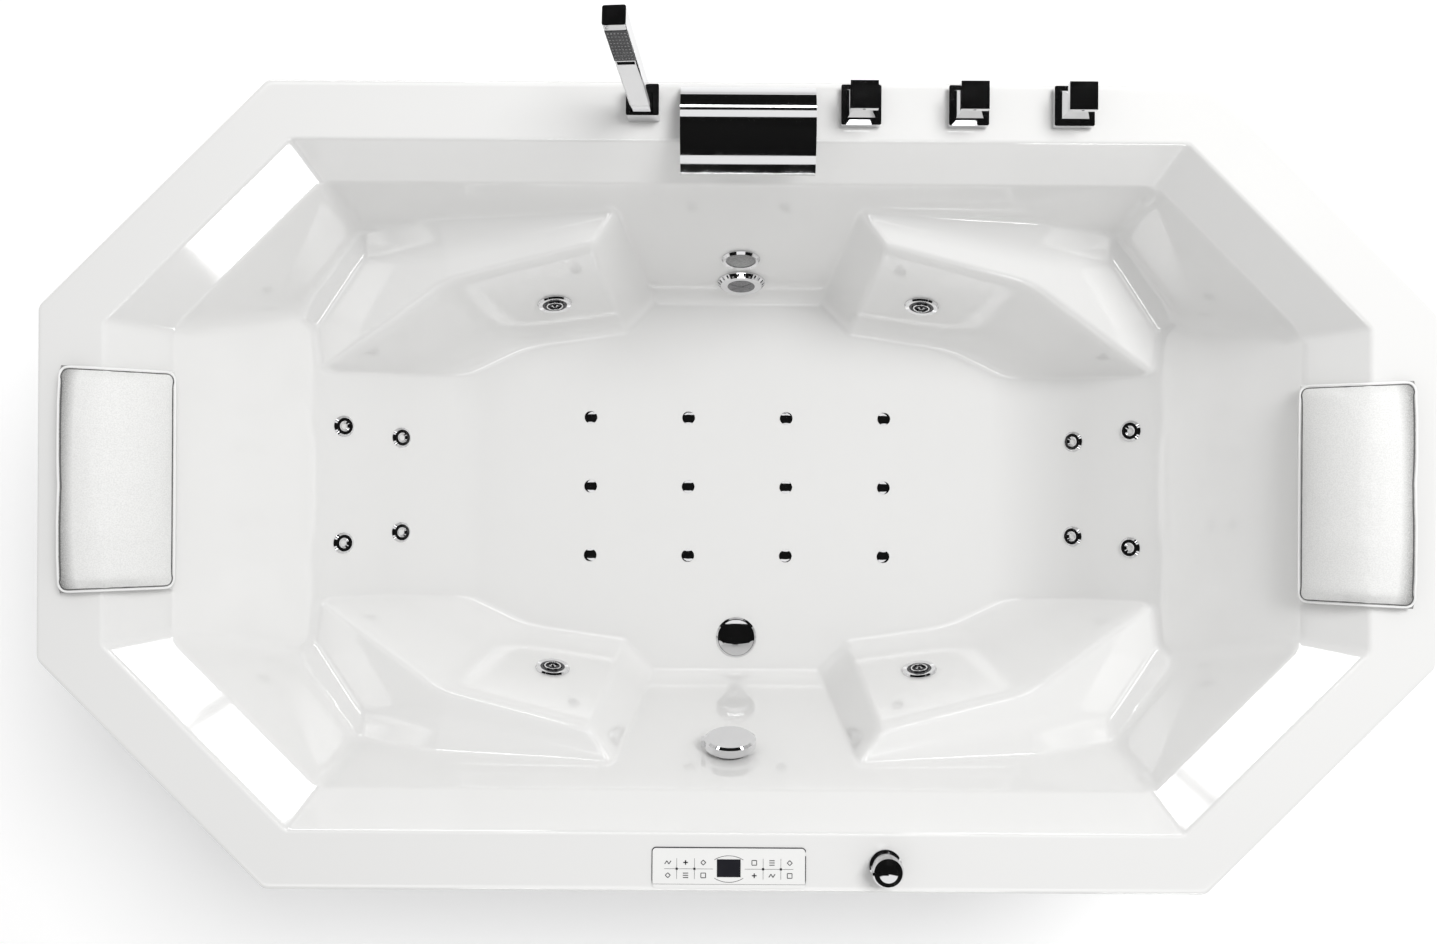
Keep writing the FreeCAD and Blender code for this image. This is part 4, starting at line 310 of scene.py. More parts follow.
RIM_OUTLINE = (HALF_WIDTH, CORNER_DISTANCE, HALF_LENGTH)
RIM_INNER = (SIDE_TOP, CORNER_TOP, END_TOP)
CREASE = (SIDE_CREASE, CORNER_CREASE, END_CREASE)


def inset_ring(inset, radius):
    return ring(*[d - inset for d in RIM_OUTLINE], radius)


def well_rings():
    """Distances and corner radii of the rings of the top, from the rim's edge inwards."""
    rings = []
    deck = 0.080 - 0.004
    for k in range(18):
        share = (RIM_EDGE_RADIUS + 0.0005) / deck + k / 18.0 * (1 - RIM_EDGE_RADIUS / deck)
        outline = blend_ring(min(share, 1.0) * 0.95, RIM_OUTLINE, RIM_INNER)
        rings.append((outline, OUTER_CORNER_RADIUS - 0.010 * share))
    for k in range(-4, 6):
        outline = [d - 0.0009 * k for d in RIM_INNER]
        rings.append((outline, INNER_CORNER_RADIUS))
    for k in range(8):
        share = 0.14 + k * 0.10
        rings.append((blend_ring(share, RIM_INNER, CREASE), INNER_CORNER_RADIUS))
    for k in range(-3, 5):
        outline = [d - 0.0011 * k for d in CREASE]
        rings.append((outline, INNER_CORNER_RADIUS))
    side = SIDE_CREASE - 0.0066
    while side > FINE_TO:
        share = side / SIDE_CREASE
        rings.append(([d * share for d in CREASE], INNER_CORNER_RADIUS * share))
        side -= FINE_STEP
    return rings


def centre_rings(first):
    side = first
    while side > CENTRE_RING:
        share = side / SIDE_CREASE
        yield [d * share for d in CREASE], INNER_CORNER_RADIUS * share
        side -= COARSE_STEP


def shell_top():
    """Points and faces of the lip's outer side, the rim and the well."""
    points = []
    faces = []
    rows = []
    low = RIM_Z - LIP_HEIGHT
    for inset, z in ((WALL, low), (0.0008, low), (0.0, low + 0.0008), (0.0, low + 0.015)):
        outline = inset_ring(inset, OUTER_CORNER_RADIUS - inset)
        add_ring(points, rows, outline, np.full(len(outline), z))
    for k in range(6):
        turn = math.radians(90 * k / 6)
        inset = RIM_EDGE_RADIUS * (1 - math.cos(turn))
        z = RIM_Z - RIM_EDGE_RADIUS * (1 - math.sin(turn))
        outline = inset_ring(inset, OUTER_CORNER_RADIUS - inset)
        add_ring(points, rows, outline, np.full(len(outline), z))
    for distances, radius in well_rings():
        outline = ring(*distances, radius)
        add_ring(points, rows, outline, RIM_Z - shell_depth(outline[:, 0], outline[:, 1]))
    for (first, count), (second, _) in zip(rows, rows[1:]):
        faces += strip(first, second, count)
    for level, start in ((3, FINE_TO - 0.004), (9, 0.120)):
        stop = 0.120 if level == 3 else CENTRE_RING
        for distances, radius in centre_rings(start):
            if distances[0] <= stop:
                break
            outline = ring(*distances, radius)[::level]
            first, count = rows[-1]
            add_ring(points, rows, outline, RIM_Z - shell_depth(outline[:, 0], outline[:, 1]))
            second, thinner = rows[-1]
            make = strip if thinner == count else thinning_strip
            faces += make(first, second, count)
    first, count = rows[-1]
    faces.append(tuple(range(first, first + count)))
    return points, faces


def shell_underside():
    """Points and faces of the lip's inner side and the back of the shell."""
    points = []
    faces = []
    rows = []
    distances = [[d * share for d in CREASE] for share in np.linspace(0.08, 0.98, 62)]
    distances += [blend_ring(share, CREASE, RIM_INNER) for share in (0.12, 0.4, 0.75)]
    for outline in distances:
        flat = ring(*outline, INNER_CORNER_RADIUS)[::UNDERSIDE_SKIP]
        x, y = flat[:, 0], flat[:, 1]
        normal = shell_normal(x, y)
        back = np.stack([x, y, RIM_Z - shell_depth(x, y)], axis=1) - normal * WALL
        add_ring(points, rows, back[:, :2], back[:, 2])
    for share in (0.14, 0.5, 0.9):
        outline = blend_ring(share, RIM_INNER, RIM_OUTLINE)
        flat = ring(*outline, INNER_CORNER_RADIUS)[::UNDERSIDE_SKIP]
        add_ring(points, rows, flat, np.full(len(flat), RIM_Z - WALL))
    for z in (RIM_Z - WALL, RIM_Z - LIP_HEIGHT):
        flat = inset_ring(WALL, OUTER_CORNER_RADIUS - WALL)[::UNDERSIDE_SKIP]
        add_ring(points, rows, flat, np.full(len(flat), z))
    for (first, count), (second, _) in zip(rows, rows[1:]):
        faces += [face[::1] for face in strip(first, second, count)]
    first, count = rows[0]
    faces.append(tuple(reversed(range(first, first + count))))
    return points, faces


def punch(points, faces, centre, axis, radius):
    """Opens a round hole in a mesh and pulls its ragged edge on to the circle."""
    places = np.array(points)
    offset = places - np.array(centre)
    height = offset @ np.array(axis)
    radial = offset - np.outer(height, axis)
    distance = np.linalg.norm(radial, axis=1)
    inside = (distance < radius) & (np.abs(height) < 3 * WALL)
    kept = []
    edge = set()
    for face in faces:
        if any(inside[v] for v in face):
            edge.update(v for v in face if not inside[v])
        else:
            kept.append(face)
    for v in edge:
        moved = centre + radial[v] / distance[v] * radius + np.array(axis) * height[v]
        points[v] = tuple(moved)
    return points, kept


# ---- Head pillows ----------------------------------------------------------------------------
PILLOW_VOXEL = 0.005
PILLOW_TUCK = 0.0015  # drawn in all over before it is filled
PILLOW_SWELL = 0.007  # farthest that the filling moves a point
SWELL_FRAMES = 20
PILLOW_DRAPE = 0.007
PILLOW_CORNER = 0.012
RAY_START = 1.5  # how far above the pillow the search for its outline begins
RAY_REACH = 0.04
RAY_STEP = 0.0005
PILLOW_LEAN = 28.0  # of its upper face towards the well, degrees
PIPING_RADIUS = 0.0021
PIPING_INSET = 0.0022
# A dark cord along the seam, inside the piping, paints the shadow in the seam's groove.
SEAM_RADIUS = 0.0010
SEAM_INSET = 0.0052

# ---- Fittings --------------------------------------------------------------------------------
ARCH_STEPS = 40
SPOUT_PLATE = 0.009
SPOUT_FOOT = 0.062
SPRAY_MARGIN = 0.012
SPRAY_LENGTH = 0.066
SPRAY_WIDTH = 0.026
SPRAY_ROWS = 9
SPRAY_COLUMNS = 6
JET_RING = 0.0125
JET_RING_WIRE = 0.0013
JET_HUB_HEIGHT = 0.0016
SUCTION_RISE = 0.0009
SUCTION_MARGIN = 0.003
JET_HUB = 0.0055
SUCTION_FACE = 0.023
KEY_START = 10.5  # millimetres from the keypad's middle
KEY_STEP = 24.0
KEY_LINE = -1.2
KEY_ROWS = (7.4, -10.0)
ARC_RADIUS = 37.0
ARC_DROP = 19.0

# ---- Camera ----------------------------------------------------------------------------------
PHOTO_WIDTH = 1453.0
FOCAL_PIXELS = 1107.0
SENSOR = 36.0
CAMERA_HEIGHT = RIM_Z + 1.5
NADIR_RIGHT = 10.5  # pixels of the photograph from its middle to the point below the camera
NADIR_DOWN = 15.0
CAMERA_ROLL = 0.35


def add_camera():
    data = bpy.data.cameras.new("camera")
    data.lens = SENSOR * FOCAL_PIXELS / PHOTO_WIDTH
    data.sensor_width = SENSOR
    data.shift_x = -NADIR_RIGHT / PHOTO_WIDTH
    data.shift_y = NADIR_DOWN / PHOTO_WIDTH
    camera = bpy.data.objects.new("camera", data)
    camera.location = (0, 0, CAMERA_HEIGHT)
    camera.rotation_euler = (0, 0, math.radians(CAMERA_ROLL))
    bpy.context.scene.collection.objects.link(camera)
    bpy.context.scene.camera = camera


# ---- Materials -------------------------------------------------------------------------------
def start_material(name):
    material = bpy.data.materials.new(name)
    material.use_nodes = True
    tree = material.node_tree
    shader = tree.nodes["Principled BSDF"]
    return material, tree, shader


def linked(tree, kind, **sockets):
    """A new node with its inputs set to values or linked to other nodes' outputs."""
    node = tree.nodes.new(kind)
    for name, value in sockets.items():
        socket = node.inputs[name.replace("_", " ")]
        if isinstance(value, bpy.types.NodeSocket):
            tree.links.new(value, socket)
        else:
            socket.default_value = value
    return node


def place(tree):
    return tree.nodes.new("ShaderNodeTexCoord").outputs["Object"]


def noise(tree, scale, detail=3.0):
    return linked(tree, "ShaderNodeTexNoise", Vector=place(tree), Scale=scale, Detail=detail)


def spread(tree, source, low, high, start=0.3, end=0.7):
    """A value between low and high, driven by a texture's output."""
    node = linked(tree, "ShaderNodeMapRange", Value=source)
    node.inputs["From Min"].default_value = start
    node.inputs["From Max"].default_value = end
    node.inputs["To Min"].default_value = low
    node.inputs["To Max"].default_value = high
    return node.outputs["Result"]


def two_tone(tree, factor, first, second):
    node = tree.nodes.new("ShaderNodeMix")
    node.data_type = "RGBA"
    tree.links.new(factor, node.inputs[0])
    node.inputs[6].default_value = (*first, 1)
    node.inputs[7].default_value = (*second, 1)
    return node.outputs[2]


def bumped(tree, shader, height, strength, distance):
    bump = linked(tree, "ShaderNodeBump", Height=height, Strength=strength, Distance=distance)
    tree.links.new(bump.outputs["Normal"], shader.inputs["Normal"])


def plain(name, colour, dark, rough, metal=0.0, tone_scale=9.0, rough_spread=0.06,
          grain_scale=0.0, grain=0.0, coat=0.0, ior=1.5):
    """A finish with cloudy colour, uneven gloss and, where wanted, a fine grain."""
    material, tree, shader = start_material(name)
    cloud = noise(tree, tone_scale).outputs["Fac"]
    tree.links.new(two_tone(tree, cloud, colour, dark), shader.inputs["Base Color"])
    smear = noise(tree, tone_scale * 7).outputs["Fac"]
    rough_value = spread(tree, smear, max(rough - rough_spread, 0.02), rough + rough_spread)
    tree.links.new(rough_value, shader.inputs["Roughness"])
    shader.inputs["Metallic"].default_value = metal
    shader.inputs["Coat Weight"].default_value = coat
    shader.inputs["IOR"].default_value = ior
    if grain:
        grit = noise(tree, grain_scale, 4.0).outputs["Fac"]
        bumped(tree, shader, grit, 0.4, grain)
    return material


def shaded(value, share):
    return tuple(c * share for c in value)


ACRYLIC = (0.80, 0.798, 0.79)
CHROME = (0.80, 0.80, 0.81)


def make_finishes():
    finishes = {
        "acrylic": plain("acrylic", ACRYLIC, shaded(ACRYLIC, 0.985), 0.07, rough_spread=0.02,
                         tone_scale=3.0, grain_scale=60.0, grain=0.00002, ior=1.9),
        "chrome": plain("chrome", CHROME, shaded(CHROME, 0.95), 0.05, 1.0, rough_spread=0.02),
        "dark_grille": plain("dark_grille", (0.035, 0.035, 0.04), (0.02, 0.02, 0.022), 0.3),
        "display": plain("display", (0.012, 0.012, 0.016), (0.02, 0.02, 0.024), 0.08),
        "white_plastic": plain("white_plastic", (0.80, 0.80, 0.79), (0.76, 0.76, 0.75), 0.35,
                               grain_scale=900.0, grain=0.00003),
        "lens": plain("lens", (0.42, 0.42, 0.42), (0.07, 0.07, 0.07), 0.3, tone_scale=420.0),
        "grey_pvc": plain("grey_pvc", (0.36, 0.37, 0.38), (0.31, 0.32, 0.33), 0.42,
                          grain_scale=500.0, grain=0.00004),
        "hose": plain("hose", (0.62, 0.63, 0.63), (0.52, 0.53, 0.53), 0.45, tone_scale=20.0,
                      grain_scale=300.0, grain=0.00006),
        "black_rubber": plain("black_rubber", (0.03, 0.03, 0.03), (0.05, 0.05, 0.048), 0.75,
                              grain_scale=700.0, grain=0.0001),
        "cable": plain("cable", (0.03, 0.03, 0.03), (0.045, 0.045, 0.045), 0.5,
                       grain_scale=600.0, grain=0.00005),
        "motor_paint": plain("motor_paint", (0.07, 0.075, 0.085), (0.05, 0.054, 0.062), 0.4,
                             grain_scale=400.0, grain=0.0001, coat=0.2),
        "blower_plastic": plain("blower_plastic", (0.04, 0.04, 0.043), (0.055, 0.055, 0.058), 0.5,
                                grain_scale=800.0, grain=0.00008),
        "brass": plain("brass", (0.60, 0.43, 0.18), (0.48, 0.33, 0.13), 0.32, 1.0,
                       grain_scale=350.0, grain=0.00005),
        "galvanised_steel": galvanised(),
        "board": sealed_board(),
        "pillow_fabric": pillow_fabric(),
        "piping": plain("piping", (0.85, 0.85, 0.845), (0.80, 0.80, 0.795), 0.6, tone_scale=60.0,
                        grain_scale=900.0, grain=0.0001),
        # Painted shadow: dark colour of the cord in the pillows' seam groove.
        "seam_shadow": plain("seam_shadow", (0.07, 0.07, 0.07), (0.14, 0.14, 0.14), 0.8, tone_scale=80.0,
                             grain_scale=900.0, grain=0.0001),
        "nozzle": plain("nozzle", (0.42, 0.42, 0.43), (0.34, 0.34, 0.35), 0.4, tone_scale=300.0),
        "suction": plain("suction", (0.22, 0.22, 0.225), (0.10, 0.10, 0.105), 0.3, tone_scale=90.0),
        # Dark print; also the colour of the painted shadow cord in the gap round the keypad plate.
        "print_and_gap_shadow": plain("print_and_gap_shadow", (0.025, 0.025, 0.03), (0.045, 0.045, 0.05), 0.5, tone_scale=200.0),
    }
    return finishes


def galvanised():
    """Zinc with its spangle."""
    material, tree, shader = start_material("galvanised_steel")
    cells = linked(tree, "ShaderNodeTexVoronoi", Vector=place(tree), Scale=70.0)
    tone = spread(tree, cells.outputs["Color"], 0.0, 1.0, 0.0, 1.0)
    tree.links.new(two_tone(tree, tone, (0.46, 0.47, 0.48), (0.62, 0.63, 0.64)), shader.inputs["Base Color"])
    tree.links.new(spread(tree, tone, 0.32, 0.5, 0.0, 1.0), shader.inputs["Roughness"])
    shader.inputs["Metallic"].default_value = 1.0
    grit = noise(tree, 260.0).outputs["Fac"]
    bumped(tree, shader, grit, 0.3, 0.0001)
    return material


def sealed_board():
    """Chipboard under a coat of resin."""
    material, tree, shader = start_material("board")
    chips = linked(tree, "ShaderNodeTexVoronoi", Vector=place(tree), Scale=220.0)
    tone = spread(tree, chips.outputs["Color"], 0.0, 1.0, 0.0, 1.0)
    tree.links.new(two_tone(tree, tone, (0.42, 0.33, 0.22), (0.56, 0.46, 0.32)), shader.inputs["Base Color"])
    shader.inputs["Roughness"].default_value = 0.5
    shader.inputs["Coat Weight"].default_value = 0.4
    bumped(tree, shader, chips.outputs["Distance"], 0.3, 0.0006)
    return material


def pillow_fabric():
    """White cloth with a fine nap, with painted shade that greys it in specks towards its outer edge."""
    material, tree, shader = start_material("pillow_fabric")
    specks = noise(tree, 650.0, 2.0).outputs["Fac"]
    panel = two_tone(tree, spread(tree, specks, 0.0, 1.0, 0.35, 0.62), (0.70, 0.70, 0.69), (0.79, 0.79, 0.78))
    # Painted shade: the cloth darkens in specks towards the pillow's outer end, where it curves away from the
    # light.
    place_parts = linked(tree, "ShaderNodeSeparateXYZ", Vector=place(tree))
    out = linked(tree, "ShaderNodeMath")
    out.operation = "ABSOLUTE"
    tree.links.new(place_parts.outputs["X"], out.inputs[0])
    outer = END_TOP + PILLOW_ON_RIM
    shade_near_edge = spread(tree, out.outputs[0], 0.0, 1.0, outer - 0.034, outer - 0.010)
    painted_shade = linked(tree, "ShaderNodeMath")
    painted_shade.operation = "MULTIPLY"
    tree.links.new(shade_near_edge, painted_shade.inputs[0])
    tree.links.new(spread(tree, noise(tree, 900.0, 3.0).outputs["Fac"], 0.35, 1.0, 0.3, 0.65), painted_shade.inputs[1])
    shade = tree.nodes.new("ShaderNodeMix")
    shade.data_type = "RGBA"
    tree.links.new(painted_shade.outputs[0], shade.inputs[0])
    tree.links.new(panel, shade.inputs[6])
    # The dark colour of the painted shade.
    shade.inputs[7].default_value = (0.10, 0.098, 0.095, 1)
    tree.links.new(shade.outputs[2], shader.inputs["Base Color"])
    shader.inputs["Roughness"].default_value = 0.9
    shader.inputs["Sheen Weight"].default_value = 0.25
    shader.inputs["Sheen Roughness"].default_value = 0.5
    weave = noise(tree, 1400.0, 4.0).outputs["Fac"]
    bumped(tree, shader, weave, 0.5, 0.0004)
    return material


def dress(piece, material):
    piece.data.materials.clear()
    piece.data.materials.append(material)


# ---- Light and floor -------------------------------------------------------------------------
FLOOR_REACH = 30
DARK_RING_LOW = 0.75
DARK_RING_HIGH = 6.0
DARK_RING_RADIUS = 4.5
DARK_TOP = (3.9, 2.2, 4.8)  # half length, half width and height
GLEAM_AIM = (0, 0, 0.75)
# Place, width, height and radiance.
GLEAMS = {
    "gleam_upper_left": ((1.31, -2.14, 1.10), 0.58, 0.30, 7.0),
    "gleam_lower_left": ((1.12, 2.26, 1.09), 0.98, 0.27, 7.0),
    "gleam_lower_right": ((-1.17, 2.24, 1.10), 1.0, 0.26, 7.0),
    "edge_front": ((0, -3.4, 3.4), 2.6, 0.35, 5.0),
    "edge_back": ((0, 3.4, 3.4), 2.6, 0.35, 5.0),
}


def light_world():
    """Plain studio white: full white behind the object, softer as light on it."""
    world = bpy.data.worlds.new("studio")
    bpy.context.scene.world = world
    world.use_nodes = True
    tree = world.node_tree
    rays = tree.nodes.new("ShaderNodeLightPath")
    seen = linked(tree, "ShaderNodeMath")
    seen.operation = "MAXIMUM"
    tree.links.new(rays.outputs["Is Camera Ray"], seen.inputs[0])
    tree.links.new(rays.outputs["Is Glossy Ray"], seen.inputs[1])
    both = linked(tree, "ShaderNodeMath")
    both.operation = "MAXIMUM"
    tree.links.new(seen.outputs[0], both.inputs[0])
    tree.links.new(rays.outputs["Is Transmission Ray"], both.inputs[1])
    strength = spread(tree, both.outputs[0], 0.70, 1.0, 0.0, 1.0)
    tree.links.new(strength, tree.nodes["Background"].inputs["Strength"])
    tree.nodes["Background"].inputs["Color"].default_value = (1, 1, 1, 1)


def add_softbox(name, place_at, target, width, height, power):
    data = bpy.data.lights.new(name, "AREA")
    data.shape = "RECTANGLE"
    data.size = width
    data.size_y = height
    data.energy = power
    lamp = bpy.data.objects.new(name, data)
    lamp.location = place_at
    lamp.rotation_euler = (Vector(target) - Vector(place_at)).to_track_quat("-Z", "Y").to_euler()
    bpy.context.scene.collection.objects.link(lamp)
    return lamp


def add_gleam(name, place_at, width, height, radiance):
    """A softbox that only gives the long white reflections on the glaze."""
    power = radiance * math.pi * width * height
    lamp = add_softbox(name, place_at, GLEAM_AIM, width, height, power)
    lamp.visible_diffuse = False


def add_card(name, points, faces):
    """A dark studio panel that only polished surfaces see."""
    card = mesh_object(name, points, faces, False)
    material, _, shader = start_material(name)
    shader.inputs["Base Color"].default_value = (0.01, 0.01, 0.01, 1)
    shader.inputs["Roughness"].default_value = 1.0
    shader.inputs["Specular IOR Level"].default_value = 0.0
    dress(card, material)
    card.visible_camera = False
    card.visible_diffuse = False
    card.visible_shadow = False
    card.visible_transmission = False
    card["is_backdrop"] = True


def add_dark_ring(low, high, distance):
    """Panels all round, between two heights."""
    count = 48
    points = []
    for z in (low, high):
        for k in range(count):
            turn = 2 * math.pi * k / count
            points.append((distance * math.cos(turn), distance * math.sin(turn), z))
    add_card("studio_dark", points, strip(0, count, count))


def add_dark_patch(half_x, half_y, z):
    corners = [(-half_x, -half_y, z), (half_x, -half_y, z), (half_x, half_y, z), (-half_x, half_y, z)]
    add_card("studio_top", corners, [(0, 1, 2, 3)])


def add_floor():
    reach = FLOOR_REACH
    corners = [(-reach, -reach, 0), (reach, -reach, 0), (reach, reach, 0), (-reach, reach, 0)]
    floor = mesh_object("floor", corners, [(0, 1, 2, 3)], False)
    material, tree, shader = start_material("floor")
    shader.inputs["Base Color"].default_value = (0.95, 0.95, 0.95, 1)
    shader.inputs["Roughness"].default_value = 0.9
    shader.inputs["Specular IOR Level"].default_value = 0.1
    rays = tree.nodes.new("ShaderNodeLightPath")
    shader.inputs["Emission Color"].default_value = (1, 1, 1, 1)
    glow = spread(tree, rays.outputs["Is Camera Ray"], 0.0, 0.10, 0.0, 1.0)
    tree.links.new(glow, shader.inputs["Emission Strength"])
    dress(floor, material)
    floor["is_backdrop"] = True


# ---- Pieces ----------------------------------------------------------------------------------
def build_shell(finish):
    points, faces = shell_top()
    jets = [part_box(f"jet_nozzle_{k}") for k in (1, 2, 3, 4)]
    face_slope = math.radians(POD_FACE_SLOPE)
    for low, high in jets:
        middle = (low + high) / 2
        turn = math.radians(90 - POD_FACE_TURN)
        side_x = math.copysign(1, middle.x)
        side_y = math.copysign(1, middle.y)
        axis = np.array([
            -side_x * math.cos(turn) * math.sin(face_slope),
            -side_y * math.sin(turn) * math.sin(face_slope),
            math.cos(face_slope),
        ])
        points, faces = punch(points, faces, np.array(middle), axis, 0.0235)
    low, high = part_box("drain_flange")
    middle = (low + high) / 2
    points, faces = punch(points, faces, np.array(middle), np.array([0, 0, 1.0]), 0.0265)
    top = len(points)
    under_points, under_faces = shell_underside()
    points = points + under_points
    faces = faces + [tuple(v + top for v in face) for face in under_faces]
    shell = mesh_object("shell_skin", points, faces)
    dress(shell, finish)
    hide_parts("tub_shell")
    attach(shell, "tub")


def points_of(mesh):
    flat = np.empty(len(mesh.vertices) * 3)
    mesh.vertices.foreach_get("co", flat)
    return flat.reshape(-1, 3)


def move_points(mesh, places):
    mesh.vertices.foreach_set("co", places.ravel())
    mesh.update()


def freeze(piece):
    """Makes the result of a piece's modifiers its own mesh."""
    graph = bpy.context.evaluated_depsgraph_get()
    mesh = bpy.data.meshes.new_from_object(piece.evaluated_get(graph))
    piece.modifiers.clear()
    piece.data = mesh


def node_copy(node_name, name):
    source = nodes[node_name]
    mesh = source.data.copy()
    mesh.transform(source.matrix_world)
    piece = bpy.data.objects.new(name, mesh)
    bpy.context.scene.collection.objects.link(piece)
    return piece


def swell(piece, reach):
    """Fills a closed cover, with no point moved farther than reach."""
    scene = bpy.context.scene
    rest = points_of(piece.data)
    fill = piece.modifiers.new("fill", "CLOTH")
    fill.settings.quality = 4
    fill.settings.use_pressure = True
    fill.settings.uniform_pressure_force = 4.0
    fill.settings.effector_weights.gravity = 0.0
    fill.point_cache.frame_end = SWELL_FRAMES
    for moment in range(1, SWELL_FRAMES + 1):
        scene.frame_set(moment)
    graph = bpy.context.evaluated_depsgraph_get()
    full = points_of(piece.evaluated_get(graph).data)
    piece.modifiers.clear()
    scene.frame_set(1)
    move = (full - rest) * (0.2, 0.2, 1.0)
    far = np.linalg.norm(move, axis=1, keepdims=True)
    move_points(piece.data, rest + move * np.minimum(1.0, reach / np.maximum(far, 1e-9)))


def lift_clear(piece, gap):
    """Keeps a soft piece on top of the shell."""
    places = points_of(piece.data)
    lowest = RIM_Z - shell_depth(places[:, 0], places[:, 1]) + gap
    places[:, 2] = np.maximum(places[:, 2], lowest)
    move_points(piece.data, places)


def stretch(piece, node_name, drape):
    """Draws a cover out to its node's length in X, and its inner end on down the slope."""
    places = points_of(piece.data)
    low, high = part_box(node_name)
    x = places[:, 0]
    outer = math.copysign(1, x.mean())
    first = (outer * x).min()
    share = (outer * x - first) / ((outer * x).max() - first)
    inner_end = min(outer * low.x, outer * high.x) - drape
    outer_end = max(outer * low.x, outer * high.x)
    places[:, 0] = outer * (inner_end + (outer_end - inner_end) * share)
    places[:, 2] -= drape * (1 - share)
    move_points(piece.data, places)


def add_pillow(side, finishes):
    """Head pillow with a stuffed cover, a piping round its upper face and, inside the piping, a dark cord as
    a painted shadow of the seam's groove.
    """
    node_name = f"pillow_{side}"
    pillow = node_copy(node_name, f"{node_name}_cover")
    remesh = pillow.modifiers.new("even", "REMESH")
    remesh.mode = "VOXEL"
    remesh.voxel_size = PILLOW_VOXEL
    freeze(pillow)
    places = points_of(pillow.data)
    normals = np.array([v.normal for v in pillow.data.vertices])
    move_points(pillow.data, places - normals * PILLOW_TUCK)
    swell(pillow, PILLOW_SWELL)
    stretch(pillow, node_name, PILLOW_DRAPE)
    lift_clear(pillow, 0.0005)
    smooth = pillow.modifiers.new("even", "SUBSURF")
    smooth.levels = 1
    smooth.render_levels = 1
    freeze(pillow)
    pillow.data.shade_smooth()
    dress(pillow, finishes["pillow_fabric"])
    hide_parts(node_name)
    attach(pillow, node_name)
    surface = BVHTree.FromObject(pillow, bpy.context.evaluated_depsgraph_get())
    # The second cord is a painted shadow of the seam's groove.
    for name, inset, radius, finish in (
        ("piping", PIPING_INSET, PIPING_RADIUS, "piping"), ("seam", SEAM_INSET, SEAM_RADIUS, "seam_shadow"),
    ):
        loop = face_edge(surface, pillow, inset)
        trim = add_tube(f"{node_name}_{name}", loop, radius, closed=True)
        dress(trim, finishes[finish])
        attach(trim, node_name)


def face_edge(surface, pillow, inset):
    """A loop round the upper face of a pillow, an inset in from its outline as seen from the well."""
    places = points_of(pillow.data)
    outer = math.copysign(1, places[:, 0].mean())
    lean = math.radians(PILLOW_LEAN)
    view = Vector((outer * math.sin(lean), 0, -math.cos(lean)))
    level = Vector((math.cos(lean), 0, outer * math.sin(lean)))
    along = places @ np.array(level)
    half_x = (along.max() - along.min()) / 2
    half_y = (places[:, 1].max() - places[:, 1].min()) / 2
    middle = level * ((along.max() + along.min()) / 2) - view * RAY_START
    middle.y = (places[:, 1].max() + places[:, 1].min()) / 2
    corner = PILLOW_CORNER
    loop = []
    for x, y in rounded_rectangle(half_x, half_y, corner, 26, 64):
        in_x = 0 if abs(x) < half_x - corner else -x
        in_y = 0 if abs(y) < half_y - corner else -y
        inward = (level * in_x + Vector((0, in_y, 0))).normalized()
        start = middle + level * x + Vector((0, y, 0))
        step = 0.0
        while surface.ray_cast(start + inward * step, view)[0] is None and step < RAY_REACH:
            step += RAY_STEP
        hit = surface.ray_cast(start + inward * (step + inset), view)[0]
        if hit is not None:
            loop.append(hit)
    for _ in range(4):
        following = loop[1:] + loop[:1]
        preceding = loop[-1:] + loop[:-1]
        loop = [a * 0.25 + b * 0.5 + c * 0.25 for a, b, c in zip(preceding, loop, following)]
    return loop


def rounded_rectangle(half_x, half_y, corner, count_x, count_y):
    """Plan points round a rectangle, anticlockwise."""
    points = []
    centres = ((half_x - corner, half_y - corner), (corner - half_x, half_y - corner),
               (corner - half_x, corner - half_y), (half_x - corner, corner - half_y))
    for k, (x, y) in enumerate(centres):
        for j in range(7):
            turn = math.radians(90 * k + 15 * j)
            points.append((x + corner * math.cos(turn), y + corner * math.sin(turn)))
        next_x, next_y = centres[(k + 1) % 4]
        turn = math.radians(90 * (k + 1))
        out_x, out_y = corner * math.cos(turn), corner * math.sin(turn)
        count = count_x if k % 2 == 0 else count_y
        for j in range(1, count):
            share = j / count
            points.append((x + (next_x - x) * share + out_x, y + (next_y - y) * share + out_y))
    return points


def add_tube(name, path, radius, closed=False, sides=10):
    """A round cord along a list of points."""
    points = []
    count = len(path)
    for k, here in enumerate(path):
        before = path[k - 1] if closed or k else here
        after = path[(k + 1) % count] if closed or k < count - 1 else here
        along = (after - before).normalized()
        across = along.cross(Vector((0, 0, 1)))
        if across.length < 0.01:
            across = along.cross(Vector((0, 1, 0)))
        across.normalize()
        over = across.cross(along)
        for j in range(sides):
            turn = 2 * math.pi * j / sides
            points.append(here + across * (radius * math.cos(turn)) + over * (radius * math.sin(turn)))
    faces = []
    for k in range(count if closed else count - 1):
        first = k * sides
        second = (k + 1) % count * sides
        faces += strip(second, first, sides)
    if not closed:
        faces += [tuple(range(sides)), tuple(reversed(range((count - 1) * sides, count * sides)))]
    return mesh_object(name, points, faces)


